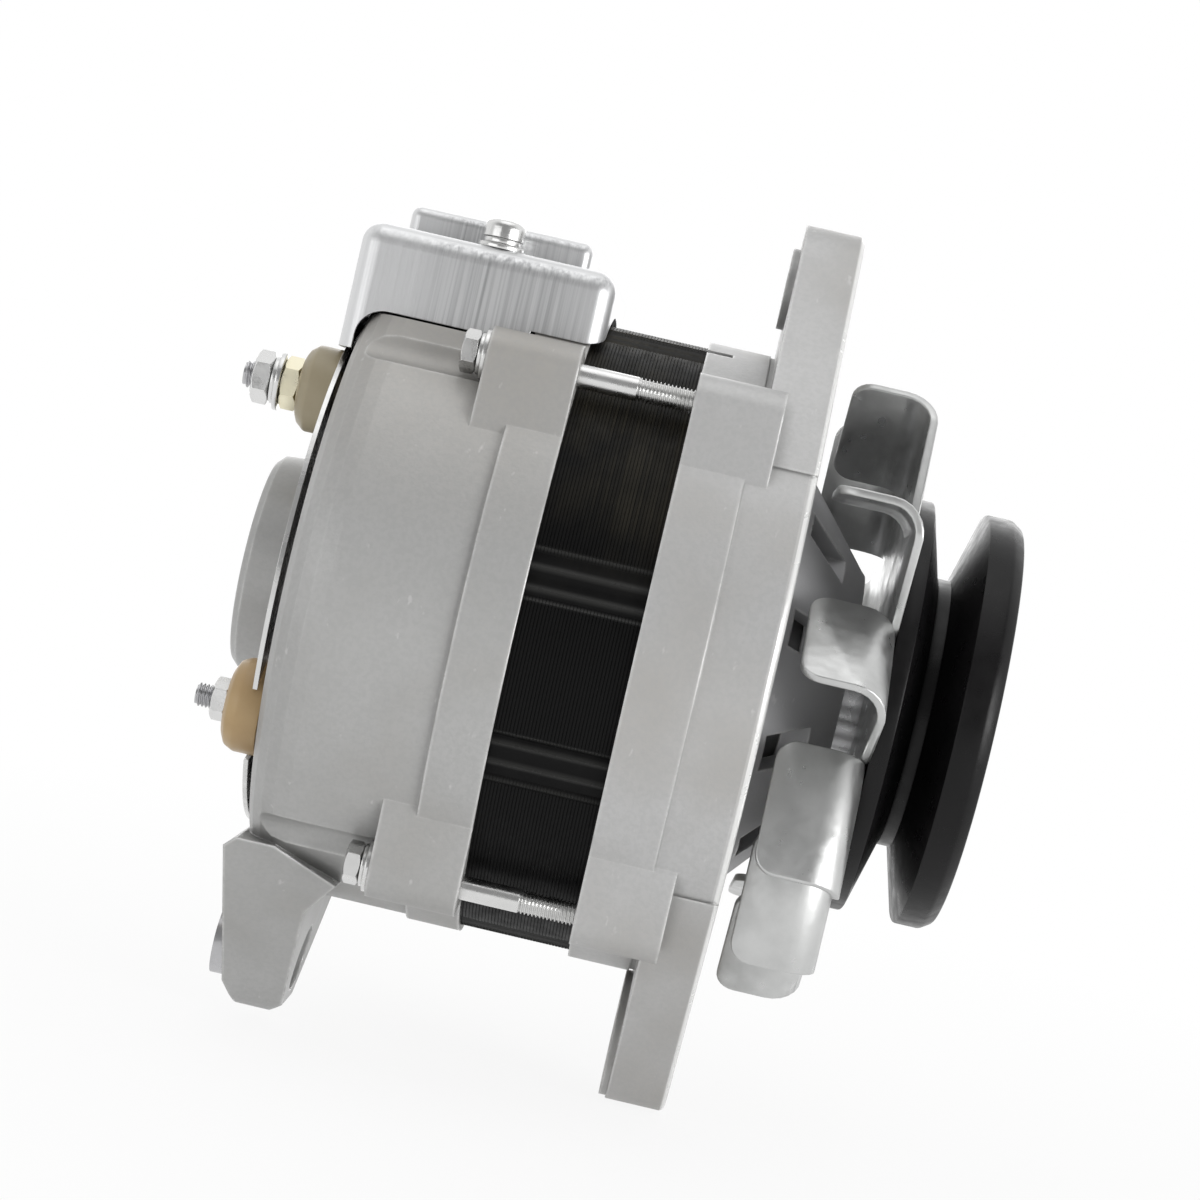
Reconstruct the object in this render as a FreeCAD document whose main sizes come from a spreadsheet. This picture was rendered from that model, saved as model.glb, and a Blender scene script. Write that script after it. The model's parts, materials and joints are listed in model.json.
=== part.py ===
import FreeCAD, Part
import math
import os
import re

import Sketcher
from FreeCAD import Placement, Rotation, Vector

# Belt-driven alternator. +X runs along the shaft towards the pulley's front, +Z points at
# the adjusting ear, and x = 0 is the middle of the belt groove. Everything is in millimetres.

SIZES = {
    # pulley, its nut and the shaft
    "pulley_radius": 46,
    "pulley_front": 14,
    "pulley_rear": 10,
    "pulley_rim": 0.8,
    "pulley_flange": 6,
    "pulley_hub": 20,
    "recess_depth": 3,
    "recess_slope": 2,
    "groove_width": 12,
    "groove_depth": 16,
    "groove_floor_width": 3,
    "dish_wall": 5,
    "dish_margin": 6,
    "dish_step": 2,
    "dish_taper": 1.5,
    "shaft_radius": 8.5,
    "shaft_end": 13,
    "thread_radius": 8,
    "nut_flats": 24,
    "nut_height": 9.5,
    "lock_washer": 1.8,
    "key_width": 4,
    "key_length": 8,
    "key_sunk": 3,
    "key_proud": 2,
    "collar_wall": 3.8,
    # fan
    "fan_radius": 69,
    "fan_sheet": 1.8,
    "fan_depth": 19,
    "fan_bend": 7.5,
    "blade_offset": 41.4,
    "blade_chord": 29,
    "blade_corner": 4.5,
    "first_blade_angle": 100,
    # bearings
    "front_bearing_radius": 23.5,
    "front_bearing_width": 14,
    "front_ball": 4.3,
    "rear_bearing_radius": 16,
    "rear_bearing_bore": 6,
    "rear_bearing_width": 10,
    "rear_ball": 2.9,
    "ball_count": 7,
    "ball_gap": 0.08,
    "shield": 0.8,
    "retainer_sheet": 2,
    "retainer_rim": 5.8,
    "retainer_reach": 6,
    "retainer_stand": 3,
    # brackets and stator core
    "nose_gap": 5.2,
    "nose_lip": 2.5,
    "nose_wall": 4.5,
    "nose_eye": 6,
    "seat_wall": 6,
    "cone_wall": 6.5,
    "rim_lip": 1.4,
    "bracket_wall": 4.6,
    "front_face": 33.5,
    "front_wall": 5,
    "front_depth": 28.1,
    "front_corner": 1.8,
    "front_band": 13.6,
    "front_step": 0.4,
    "cone_inset": 23.2,
    "yoke_depth": 9.8,
    "core_shown": 24.2,
    "core_seat": 3,
    "slot_count": 36,
    "slot_width": 3.6,
    "slot_depth": 12,
    "winding_overhang": 12.6,
    "winding_depth": 8,
    "window_count": 10,
    "window_width": 8,
    "window_height": 10.5,
    "window_inset": 2.5,
    "weld_pitch": 4.2,
    "weld_groove": 2.6,
    "weld_depth": 1,
    "notch_width": 2.4,
    "notch_length": 5.6,
    # ears and foot
    "ear_depth": 13.2,
    "ear_stand": 15.3,
    "ear_radius": 14.6,
    "ear_round": 1.2,
    "ear_boss": 9,
    "ear_boss_depth": 1.6,
    "adjusting_radius": 4,
    "pivot_stand": 14.8,
    "pivot_radius": 5.1,
    "foot_radius": 12.8,
    "foot_inset": 16,
    "foot_toe": 6,
    "toe_bevel": 3,
    "toe_taper": 2.5,
    "sole_length": 7,
    "sole_taper": 3.3,
    "heel_bevel": 6,
    "heel_drop": 1.5,
    "foot_overhang": 2.6,
    "bush_radius": 7.5,
    "bush_overhang": 1.8,
    "bush_inset": 3,
    # through bolts and their lugs
    "bolt_stand": 4.2,
    "bolt_angle": 48.5,
    "bolt_radius": 2.5,
    "bolt_flats": 8,
    "bolt_head": 3.4,
    "bolt_depth": 13,
    "lug_radius": 6.2,
    "lug_bite": 3,
    "channel_room": 0.4,
    "front_lug": 18.4,
    "rear_lug": 19,
    "washer_radius": 5.4,
    "washer_height": 2,
    # rear bracket
    "rear_depth": 48.2,
    "rear_band": 11.7,
    "band_step": 0.9,
    "rear_wall": 4,
    "rear_corner": 10,
    "flat_drop": 11.2,
    "hub_wall": 8,
    "hub_length": 14.5,
    "hub_chamfer": 1.5,
    "inlet_stand": 2.5,
    "inlet_height": 6.5,
    "inlet_width": 11,
    "plate_inset": 13.2,
    "plate_sheet": 1,
    "plate_gap": 1.5,
    "plate_inlet": 31,
    "plate_screw_inset": 8,
    "pad_radius": 4.5,
    "small_screw": 1.5,
    "small_head": 3,
    "small_head_height": 2,
    # rotor
    "rotor_radius": 45.6,
    "air_gap": 0.4,
    "rotor_length": 44,
    "pole_disc": 12,
    "claw_depth": 9.6,
    "claw_tip_depth": 3.5,
    "claw_root_angle": 30,
    "claw_tip_angle": 16,
    "claw_clearance": 4,
    "pole_arm": 4,
    "bobbin_wall": 1.5,
    "pole_core": 22,
    "shaft_shoulder": 11,
    "claw_room": 1.5,
    "ring_radius": 14,
    "ring_width": 7,
    "ring_pitch": 10,
    "ring_setback": 20,
    "ring_sleeve": 9.5,
    "sleeve_wall": 1.5,
    "sleeve_end": 2,
    # brushes, regulator and its cover
    "brush_width": 6,
    "brush_depth": 8,
    "brush_length": 16,
    "brush_slack": 0.1,
    "spring_length": 14,
    "holder_wall": 2,
    "holder_flange": 3,
    "flange_length": 4,
    "flange_width": 6,
    "wire_gap": 0.6,
    "regulator_margin": 5,
    "cover_overhang": 2.8,
    "cover_slack": 0.1,
    "cover_half_width": 33,
    "cover_height": 19,
    "cover_sheet": 1.2,
    "cover_corner": 4.5,
    "cover_lift": 0.6,
    "cover_apron": 8.4,
    "apron_corner": 6,
    "plateau_corner": 2.2,
    "plateau_height": 6.2,
    "plateau_inset": 7.4,
    "plateau_gap": 9,
    "screw_setback": 28.8,
    "screw_inset": 8,
    "cover_thread": 2,
    "cover_post": 4,
    "cover_head": 4.4,
    "cover_head_height": 3,
    "cover_crown": 3,
    "cover_crown_height": 0.9,
    "cover_washer": 5,
    "cover_washer_sheet": 1,
    "cover_lock": 4,
    "cover_lock_sheet": 1.4,
    # terminals and rectifier
    "battery_y": -22,
    "battery_z": 39.6,
    "battery_radius": 3,
    "battery_pitch": 2.675,
    "battery_flats": 10,
    "battery_flange": 9.4,
    "battery_flange_depth": 8,
    "battery_face": 6.4,
    "battery_spacer": 4,
    "battery_washer": 6.4,
    "battery_washer_sheet": 1,
    "battery_lock": 5.2,
    "battery_lock_sheet": 1.2,
    "battery_nut_height": 4,
    "battery_overrun": 2.2,
    "stud_head": 4,
    "field_y": -40.5,
    "field_z": -28,
    "field_radius": 2.5,
    "field_pitch": 2.24,
    "field_flats": 8,
    "field_flange": 10,
    "field_flange_depth": 8,
    "field_face": 7,
    "field_nut_height": 3.4,
    "field_overrun": 3.6,
    "field_collar": 2,
    "field_collar_depth": 1.5,
    "sink_inset": 14.6,
    "sink_width": 22,
    "sink_sheet": 3,
    "diode_radius": 6,
    "diode_inset": 11,
    "diode_height": 2.5,
    "lead_radius": 0.8,
    "lead_length": 4.5,
    "sink_gap": 11,
}

# Places that follow from the sizes; each may use the ones above it.
DERIVED = {
    "groove_floor_radius": "pulley_radius - groove_depth",
    "dish_radius": "groove_floor_radius - dish_wall",
    "fan_front": "-pulley_rear",
    "fan_rear": "fan_front - fan_sheet",
    "nose": "fan_rear - nose_gap",
    "bearing_front": "nose - nose_lip",
    "bearing_rear": "bearing_front - front_bearing_width",
    "retainer_circle": "front_bearing_radius + retainer_stand",
    "retainer_rear": "bearing_rear - retainer_sheet",
    "nose_radius": "front_bearing_radius + nose_wall",
    "core_bore": "rotor_radius + air_gap",
    "core_radius": "core_bore + slot_depth + yoke_depth",
    "bracket_radius": "core_radius + rim_lip",
    "winding_radius": "core_bore + winding_depth",
    "cone_base": "bracket_radius - cone_inset",
    "front_rim": "front_face + front_depth",
    "rear_face": "front_rim + core_shown + rear_depth",
    "flat_height": "bracket_radius - flat_drop",
    "hub_radius": "rear_bearing_radius + hub_wall",
    "hub_end": "rear_face + hub_length",
    "plate_radius": "bracket_radius - plate_inset",
    "ear_reach": "bracket_radius + ear_stand",
    "pivot_drop": "bracket_radius + pivot_stand",
    "foot_front": "rear_face - foot_inset",
    "foot_heel": "rear_face + foot_overhang",
    "bolt_circle": "core_radius + bolt_stand",
    "core_front": "-(front_rim - core_seat)",
    "rear_rim": "-(front_rim + core_shown)",
    "core_rear": "rear_rim - core_seat",
    "core_middle": "(core_front + core_rear)/2",
    "front_inside": "-(front_face + front_wall)",
    "rear_inside": "-(rear_face - rear_wall)",
    "bore_radius": "bracket_radius - bracket_wall",
    "rebate_radius": "core_radius + 0.05",
    "band_end": "rear_rim - rear_band",
    "rotor_front": "core_middle + rotor_length/2",
    "rotor_rear": "core_middle - rotor_length/2",
    "coil_radius": "rotor_radius - claw_depth - claw_room",
    "ring_middle": "rear_face - ring_setback",
    "rear_bearing_front": "-(rear_face - 1)",
    "rear_bearing_rear": "rear_bearing_front - rear_bearing_width",
    "front_pitch": "(front_bearing_radius + shaft_radius)/2",
    "rear_pitch": "(rear_bearing_radius + rear_bearing_bore)/2",
    "bolt_y": "bolt_circle*cos(bolt_angle)",
    "bolt_z": "bolt_circle*sin(bolt_angle)",
    "lug_rear": "rear_rim - rear_lug",
    "channel_radius": "washer_radius + channel_room",
    "ear_rear": "-(front_face + ear_depth)",
    "blade_end": "sqrt(fan_radius^2 - blade_offset^2)",
    "blade_start": "blade_end - blade_chord",
    "plate_front": "-(rear_face + plate_gap)",
    "plate_rear": "plate_front - plate_sheet",
    "plate_screw_circle": "plate_radius - plate_screw_inset",
    "upper_ear_lean": "asin((bracket_radius - ear_radius)/ear_reach)",
    "lower_ear_lean": "asin((bracket_radius - ear_radius)/pivot_drop)",
    "foot_lean": "asin((bracket_radius - foot_radius)/pivot_drop)",
    "brush_foot": "ring_radius + brush_slack",
    "brush_top": "brush_foot + brush_length",
    "spring_top": "brush_top + spring_length",
    "holder_half": "brush_depth/2 + holder_wall",
    "cover_front": "front_rim + core_shown - cover_overhang",
    "cover_rear": "cover_slack + cover_sheet - plate_rear",
    "cover_top": "flat_height + cover_height",
    "cover_foot": "flat_height + cover_lift",
    "cover_drop": "flat_height - cover_apron",
    "cover_screw_x": "cover_rear - screw_setback",
    "cover_screw_y": "cover_half_width - screw_inset",
    "plateau_top": "cover_top + plateau_height",
    "plateau_front": "cover_front + plateau_inset",
    "plateau_rear": "cover_rear - plateau_inset",
    "plateau_half_width": "cover_screw_y - plateau_gap",
    "cover_inside": "cover_top - cover_sheet",
    "cover_seat": "cover_top + cover_washer_sheet + cover_lock_sheet",
    "holder_front": "-ring_middle + ring_pitch + holder_wall",
    "holder_rear": "-ring_middle - ring_pitch - holder_wall",
    "holder_top": "flat_height + holder_flange",
    "battery_seat": "plate_rear - battery_flange_depth",
    "battery_spacer_rear": "battery_seat - battery_spacer",
    "battery_washer_rear": "battery_spacer_rear - battery_washer_sheet",
    "battery_lock_rear": "battery_washer_rear - battery_lock_sheet",
    "battery_nut_rear": "battery_lock_rear - battery_nut_height",
    "battery_end": "battery_nut_rear - battery_overrun",
    "field_seat": "-rear_face - field_flange_depth",
    "field_nut_rear": "field_seat - field_nut_height",
    "field_end": "field_nut_rear - field_overrun",
    "field_collar_front": "rear_inside + field_collar_depth",
    "flat_inside": "flat_height - rear_wall + 0.5",
    "positive_front": "core_rear - winding_overhang - sink_gap",
    "positive_rear": "positive_front - sink_sheet",
    "negative_front": "rear_inside + sink_sheet",
    "sink_radius": "bore_radius - sink_inset",
    "sink_bore": "sink_radius - sink_width",
    "diode_circle": "sink_radius - diode_inset",
}

# Steps between the fan's blades, uneven so that the fan doesn't whistle.
BLADE_STEPS = (40, 35, 36, 25, 33, 40, 36, 34, 43, 38)
CLAW_COUNT = 6
DIODE_ANGLES = (175, 230, 300)
PLATE_SCREW_ANGLES = (15, 75, 295)
RETAINER_SCREW_ANGLES = (90, 210, 330)
INLET_COUNT = 8
# Middles of the core's welds, from -Y towards +Z, and the grooves across each one.
WELD_ANGLES = (11, -21, 74, 106, 159, 191, -74, -106)
WELD_GROOVES = (-1, 0, 1)
NOTCH_ANGLE = 106.7

X_AXIS = Vector(1, 0, 0)
# Slack between pieces that fit, and how far a cutter runs past what it cuts.
FIT = 0.02
PAST = 1

doc = FreeCAD.newDocument("Alternator")
sheet = doc.addObject("Spreadsheet::Sheet", "Sizes")
for row, (size_name, size_value) in enumerate(SIZES.items(), start=1):
    sheet.set(f"A{row}", size_name)
    sheet.set(f"B{row}", str(size_value))
    sheet.setAlias(f"B{row}", size_name)
doc.recompute()


def linked(text):
    """Return a formula with every size pointed at its cell."""
    def cell(match):
        word = match.group()
        if word in DERIVED:
            return f"({linked(DERIVED[word])})"
        return f"Sizes.{word}" if word in SIZES else word
    return re.sub(r"[a-z][a-z_0-9]*", cell, str(text))


def value(text):
    """Work a formula out to a plain number."""
    answer = sheet.evalExpression(linked(text))
    return float(getattr(answer, "Value", answer))


def bind(thing, **formulas):
    """Tie properties such as Radius or Base_x to formulas."""
    for name, formula in formulas.items():
        path = name.replace("Base_", "Placement.Base.")
        thing.setExpression(path, linked(formula))
    return thing


# Basic solids

ALONG_X = Rotation(Vector(0, 1, 0), 90)


def rod(name, radius, rear, front, y="0", z="0"):
    """A cylinder along X from rear to front."""
    made = doc.addObject("Part::Cylinder", name)
    made.Placement = Placement(Vector(), ALONG_X)
    return bind(made, Radius=radius, Height=f"({front}) - ({rear})",
                Base_x=rear, Base_y=y, Base_z=z)


def post(name, radius, low, high, x, y="0"):
    """A cylinder along Z from low to high."""
    made = doc.addObject("Part::Cylinder", name)
    return bind(made, Radius=radius, Height=f"({high}) - ({low})",
                Base_x=x, Base_y=y, Base_z=low)


def block(name, x_pair, y_pair, z_pair):
    """A box between two places on each axis."""
    made = doc.addObject("Part::Box", name)
    return bind(made,
                Length=f"({x_pair[1]}) - ({x_pair[0]})",
                Width=f"({y_pair[1]}) - ({y_pair[0]})",
                Height=f"({z_pair[1]}) - ({z_pair[0]})",
                Base_x=x_pair[0], Base_y=y_pair[0], Base_z=z_pair[0])


def hexagon(name, flats, rear, front, y="0", z="0"):
    """A six-sided bar along X, given across its flats."""
    made = doc.addObject("Part::Prism", name)
    made.Polygon = 6
    made.Placement = Placement(Vector(), ALONG_X)
    return bind(made, Circumradius=f"({flats})/2/cos(30)", Height=f"({front}) - ({rear})",
                Base_x=rear, Base_y=y, Base_z=z)


def outline(body, name, role, corners, offset="0"):
    """A closed sketch of straight runs, each corner tied to two formulas."""
    drawn = body.newObject("Sketcher::SketchObject", name)
    base = next(f for f in body.Origin.OriginFeatures if f.Role == role)
    drawn.AttachmentSupport = [(base, "")]
    drawn.MapMode = "FlatFace"
    drawn.setExpression("AttachmentOffset.Base.z", linked(offset))
    places = [Vector(value(a), value(b), 0) for a, b in corners]
    count = len(places)
    for i in range(count):
        drawn.addGeometry(Part.LineSegment(places[i], places[(i + 1) % count]), False)
    for i in range(count):
        drawn.addConstraint(Sketcher.Constraint("Coincident", i, 2, (i + 1) % count, 1))
    for i, (place, formulas) in enumerate(zip(places, corners)):
        for kind, number, formula in (("DistanceX", place.x, formulas[0]),
                                      ("DistanceY", place.y, formulas[1])):
            key = drawn.addConstraint(Sketcher.Constraint(kind, -1, 1, i, 1, number))
            drawn.setExpression(f"Constraints[{key}]", linked(formula))
    return drawn


def spun(name, corners):
    """A body turned about the X axis from corners given as (x, radius)."""
    body = doc.addObject("PartDesign::Body", name)
    turned = body.newObject("PartDesign::Revolution", name + "_turned")
    turned.Profile = outline(body, name + "_profile", "XZ_Plane", corners)
    turned.ReferenceAxis = (turned.Profile[0], ["H_Axis"])
    turned.Angle = 360
    return body


def prism(name, corners, rear, front):
    """A body with an outline of (y, z) corners, padded along X."""
    body = doc.addObject("PartDesign::Body", name)
    pad = body.newObject("PartDesign::Pad", name + "_pad")
    pad.Profile = outline(body, name + "_outline", "YZ_Plane", corners, rear)
    pad.setExpression("Length", linked(f"({front}) - ({rear})"))
    return body


def slab(name, corners, half_width):
    """A body with an outline of (x, z) corners, padded both ways along Y."""
    body = doc.addObject("PartDesign::Body", name)
    pad = body.newObject("PartDesign::Pad", name + "_pad")
    pad.Profile = outline(body, name + "_outline", "XZ_Plane", corners)
    pad.Midplane = True
    pad.setExpression("Length", linked(f"2*({half_width})"))
    return body


# Joining and cutting

def joined(name, *pieces):
    made = doc.addObject("Part::MultiFuse", name)
    made.Shapes = list(pieces)
    made.Refine = True
    return made


def cut(name, base, *tools):
    made = doc.addObject("Part::Cut", name)
    made.Base = base
    made.Tool = tools[0] if len(tools) == 1 else joined(name + "_tools", *tools)
    made.Refine = True
    return made


def shared(name, first, second):
    made = doc.addObject("Part::Common", name)
    made.Base = first
    made.Tool = second
    return made


def together(name, pieces):
    """Several separate solids in one node."""
    made = doc.addObject("Part::Compound", name)
    made.Links = list(pieces)
    return made


def plain(name, shape):
    """A shape worked out in code."""
    made = doc.addObject("Part::Feature", name)
    made.Shape = shape
    return made


def rounded(name, base, radius, wanted):
    """Fillet the edges that a test picks, at a radius from the sheet."""
    doc.recompute()
    made = doc.addObject("Part::Fillet", name)
    made.Base = base
    size = value(radius)
    made.Edges = [(i, size, size) for i, edge in enumerate(base.Shape.Edges, start=1)
                  if wanted(edge)]
    return made


def polar(radius, angle):
    """The (y, z) formulas of a place given by radius and angle from +Y."""
    return f"({radius})*cos({angle})", f"({radius})*sin({angle})"


def corner_bolts():
    """The four through-bolt places, as (name, y, z, side, level)."""
    for level, side in ((1, 1), (1, -1), (-1, 1), (-1, -1)):
        yield f"{level}_{side}".replace("-", "m"), f"{side}*bolt_y", f"{level}*bolt_z", side, level


# Pulley, nut, key and shaft

def make_pulley():
    half_top, half_floor = "groove_width/2", "groove_floor_width/2"
    wheel = spun("pulley_wheel", [
        ("-pulley_rear", "shaft_radius + 0.02"),
        ("-pulley_rear", "pulley_hub"),
        ("-pulley_rear + recess_depth", "pulley_hub + recess_slope"),
        ("-pulley_rear + recess_depth", "pulley_radius - pulley_flange - recess_slope"),
        ("-pulley_rear", "pulley_radius - pulley_flange"),
        ("-pulley_rear", "pulley_radius - pulley_rim"),
        ("-pulley_rear + pulley_rim", "pulley_radius"),
        (f"-{half_top}", "pulley_radius"),
        (f"-{half_floor}", "groove_floor_radius"),
        (half_floor, "groove_floor_radius"),
        (half_top, "pulley_radius"),
        ("pulley_front - 3*pulley_rim", "pulley_radius"),
        ("pulley_front", "pulley_radius - 2*pulley_rim"),
        ("pulley_front", "dish_radius + dish_margin"),
        ("pulley_front - dish_step", "dish_radius"),
        ("0", "dish_radius - dish_taper"),
        ("0", "shaft_radius + 0.02"),
    ])
    return cut("pulley", wheel, key_block("pulley_keyway", "0.05"))


def key_block(name, slack):
    """The key's own block, or its keyway when it gets some slack."""
    half = f"key_width/2 + {slack}"
    return block(name, (f"-key_length - 1 - {slack}", f"-1 + {slack}"), (f"-({half})", half),
                 (f"shaft_radius - key_sunk - {slack}", f"shaft_radius + key_proud + {slack}"))


def make_shaft():
    bar = spun("shaft_bar", [
        ("rear_bearing_rear - 0.5", "0"),
        ("rear_bearing_rear - 0.5", "rear_bearing_bore - 0.6"),
        ("rear_bearing_rear", "rear_bearing_bore"),
        ("rear_bearing_front", "rear_bearing_bore"),
        ("rear_bearing_front", "ring_sleeve - sleeve_wall"),
        ("holder_front", "ring_sleeve - sleeve_wall"),
        ("holder_front", "shaft_shoulder"),
        ("bearing_rear", "shaft_shoulder"),
        ("bearing_rear", "shaft_radius"),
        ("0", "shaft_radius"),
        ("0", "thread_radius"),
        ("shaft_end - 1", "thread_radius"),
        ("shaft_end", "thread_radius - 1"),
        ("shaft_end", "0"),
    ])
    return cut("rotor_shaft", bar, key_block("shaft_keyway", "0.02"))


def make_drive_end():
    nut = shared("pulley_nut",
                 cut("nut_bored", hexagon("nut_hexagon", "nut_flats", "lock_washer",
                                          "lock_washer + nut_height"),
                     rod("nut_hole", "thread_radius + 0.02", "0", "lock_washer + nut_height + 1")),
                 spun("nut_bevel", [
                     ("lock_washer", "0"), ("lock_washer", "nut_flats/2 + 2"),
                     ("lock_washer + nut_height - 1.5", "nut_flats/2 + 2"),
                     ("lock_washer + nut_height", "nut_flats/2 - 0.2"),
                     ("lock_washer + nut_height", "0")]))
    washer = cut("lock_washer_ring", rod("washer_disc", "nut_flats/2 + 1", "0", "lock_washer"),
                 rod("washer_hole", "thread_radius + 0.1", "-1", "lock_washer + 1"),
                 block("washer_split", ("-1", "lock_washer + 1"), ("-0.5", "0.5"),
                       ("0", "nut_flats")))
    collar = cut("fan_collar", rod("collar_bar", "shaft_radius + collar_wall", "bearing_front",
                                   "fan_rear"),
                 rod("collar_hole", "shaft_radius + 0.02", "bearing_front - 1", "fan_rear + 1"))
    washer.Label = "pulley_washer"
    return [nut, washer, collar, key_block("drive_key", "0")]


# Fan

def make_fan():
    """A saw-edged plate whose blades are folded back along slanted lines."""
    front, rear = value("fan_front"), value("fan_rear")
    thick, bend = value("fan_sheet"), value("fan_bend")
    tip = value("fan_front - fan_depth")
    offset, start, end = value("blade_offset"), value("blade_start"), value("blade_end")
    corner = value("blade_corner")
    fold = offset - bend
    centre_x = front - bend
    turn = math.radians(45)

    def bent(radius):
        return Vector(centre_x + radius * math.cos(turn), fold + radius * math.sin(turn), 0)

    # Section of one blade in the plane of X and its own outward direction.
    edges = [
        Part.makeLine(Vector(front, fold - 1, 0), Vector(front, fold, 0)),
        Part.Arc(Vector(front, fold, 0), bent(bend), Vector(centre_x, offset, 0)).toShape(),
        Part.makeLine(Vector(centre_x, offset, 0), Vector(tip, offset, 0)),
        Part.makeLine(Vector(tip, offset, 0), Vector(tip, offset - thick, 0)),
        Part.makeLine(Vector(tip, offset - thick, 0), Vector(centre_x, offset - thick, 0)),
        Part.Arc(Vector(centre_x, offset - thick, 0), bent(bend - thick),
                 Vector(rear, fold, 0)).toShape(),
        Part.makeLine(Vector(rear, fold, 0), Vector(rear, fold - 1, 0)),
        Part.makeLine(Vector(rear, fold - 1, 0), Vector(front, fold - 1, 0)),
    ]
    section = Part.Face(Part.Wire(edges))
    section.translate(Vector(0, 0, start))
    flap = section.extrude(Vector(0, 0, end - start))
    # Round the two corners at the blade's free edge.
    frame = Part.makeBox(front - tip + 1, offset + 2, end - start, Vector(tip, 0, start))
    ends = [e for e in frame.Edges
            if abs(e.BoundBox.XMax - tip) < 0.01 and e.BoundBox.YLength > offset]
    flap = flap.common(frame.makeFillet(corner, ends))

    angle = value("first_blade_angle")
    lean = math.degrees(math.atan2(end, offset))
    rim, flaps = [], []
    for step in BLADE_STEPS:
        outward = angle - lean
        turned = Rotation(X_AXIS, outward)
        flap_here = flap.copy()
        flap_here.Placement = Placement(Vector(), turned)
        flaps.append(flap_here)
        rim += [turned.multVec(Vector(rear, fold, t)) for t in (start, end)]
        angle += step
    sheet_face = Part.Face(Part.makePolygon(rim + [rim[0]]))
    plate = sheet_face.extrude(Vector(thick, 0, 0))
    bore = Part.makeCylinder(value("shaft_radius + 0.02"), thick + 2, Vector(rear - 1, 0, 0),
                             X_AXIS)
    return plain("fan", plate.fuse(flaps).cut(bore).removeSplitter())


# Bearings

def make_bearing(side, rear, front, outer, bore, pitch, ball):
    """Outer ring with its shields, inner ring, ball cage and balls."""
    middle = (value(rear) + value(front)) / 2
    x_low, x_high = value(rear), value(front)
    r_out, r_in, r_pitch = value(outer), value(bore), value(pitch)
    r_ball, gap, shield = value(ball), value("ball_gap"), value("shield")
    land = 0.45 * r_ball

    def ring(low, high, start, stop):
        big = Part.makeCylinder(high, stop - start, Vector(start, 0, 0), X_AXIS)
        return big.cut(Part.makeCylinder(low, stop - start, Vector(start, 0, 0), X_AXIS))

    track = Part.makeTorus(r_pitch, r_ball + gap, Vector(middle, 0, 0), X_AXIS)
    outer_ring = ring(r_pitch + land, r_out, x_low, x_high).cut(track)
    shields = [ring(r_pitch - land + 2 * gap, r_pitch + land + 0.01, start, start + shield)
               for start in (x_low, x_high - shield)]
    inner_ring = ring(r_in, r_pitch - land, x_low, x_high).cut(track)
    cage_half = 1.3 * r_ball
    cage = ring(r_pitch - 0.3 * r_ball, r_pitch + 0.3 * r_ball, middle - cage_half,
                middle + cage_half)
    balls, pockets = [], []
    count = int(value("ball_count"))
    for i in range(count):
        around = math.radians(360 * i / count)
        place = Vector(middle, r_pitch * math.cos(around), r_pitch * math.sin(around))
        balls.append(Part.makeSphere(r_ball, place))
        outward = Vector(0, math.cos(around), math.sin(around))
        pockets.append(Part.makeCylinder(r_ball + gap, r_pitch, Vector(middle, 0, 0), outward))
        pockets[-1].translate(outward * (r_pitch / 2))
    return [
        plain(f"{side}_bearing_outer", outer_ring.fuse(shields).removeSplitter()),
        plain(f"{side}_bearing_inner", inner_ring),
        plain(f"{side}_bearing_cage", cage.cut(Part.makeCompound(pockets))),
        plain(f"{side}_bearing_balls", Part.makeCompound(balls)),
    ]


# Stator

def weld_grooves(low, high):
    """Cutters for the grooves on both sides of each weld's beads."""
    outside = value("core_radius")
    width, depth, pitch = value("weld_groove"), value("weld_depth"), value("weld_pitch")
    grooves = []
    for angle in WELD_ANGLES:
        for place in WELD_GROOVES:
            groove = Part.makeBox(high - low + 2 * PAST, depth + PAST, width,
                                  Vector(low - PAST, -outside - PAST, place * pitch - width / 2))
            groove.Placement = Placement(Vector(), Rotation(X_AXIS, -angle))
            grooves.append(groove)
    return grooves


def make_stator():
    ring = cut("core_ring", rod("core_disc", "core_radius", "core_rear", "core_front"),
               rod("core_hole", "core_bore", "core_rear - 1", "core_front + 1"))
    doc.recompute()
    low, high = value("core_rear"), value("core_front")
    bore, deep, wide = value("core_bore"), value("slot_depth"), value("slot_width")
    overhang = value("winding_overhang")
    slots, wires = [], []
    count = int(value("slot_count"))
    for i in range(count):
        turned = Placement(Vector(), Rotation(X_AXIS, 360 * i / count))
        for store, inset, foot in ((slots, 0, bore - 2), (wires, 0.2, bore + 1)):
            reach = 1 if store is slots else 0.5
            bar = Part.makeBox(high - low + 2 * reach, bore + deep - inset - foot,
                               wide - 2 * inset, Vector(low - reach, foot, inset - wide / 2))
            bar.Placement = turned
            store.append(bar)
    core = plain("stator_core", ring.Shape.cut(Part.makeCompound(slots + weld_grooves(low, high))))

    def end_turns(start, direction):
        radius = value("winding_radius")
        inner = bore + 1.5
        half = (radius - inner) / 2
        out = direction * overhang
        profile = Part.makePolygon([
            Vector(start, 0, inner), Vector(start, 0, radius),
            Vector(start + 0.7 * out, 0, radius + 0.2), Vector(start + out, 0, radius - 0.35 * half),
            Vector(start + out, 0, inner + 0.35 * half), Vector(start + 0.7 * out, 0, inner - 0.2),
            Vector(start, 0, inner)])
        return Part.Face(profile).revolve(Vector(), X_AXIS, 360)

    copper = end_turns(high, 1).fuse([end_turns(low, -1)] + wires)
    return [core, plain("stator_windings", copper.removeSplitter())]


# Rotor

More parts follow.
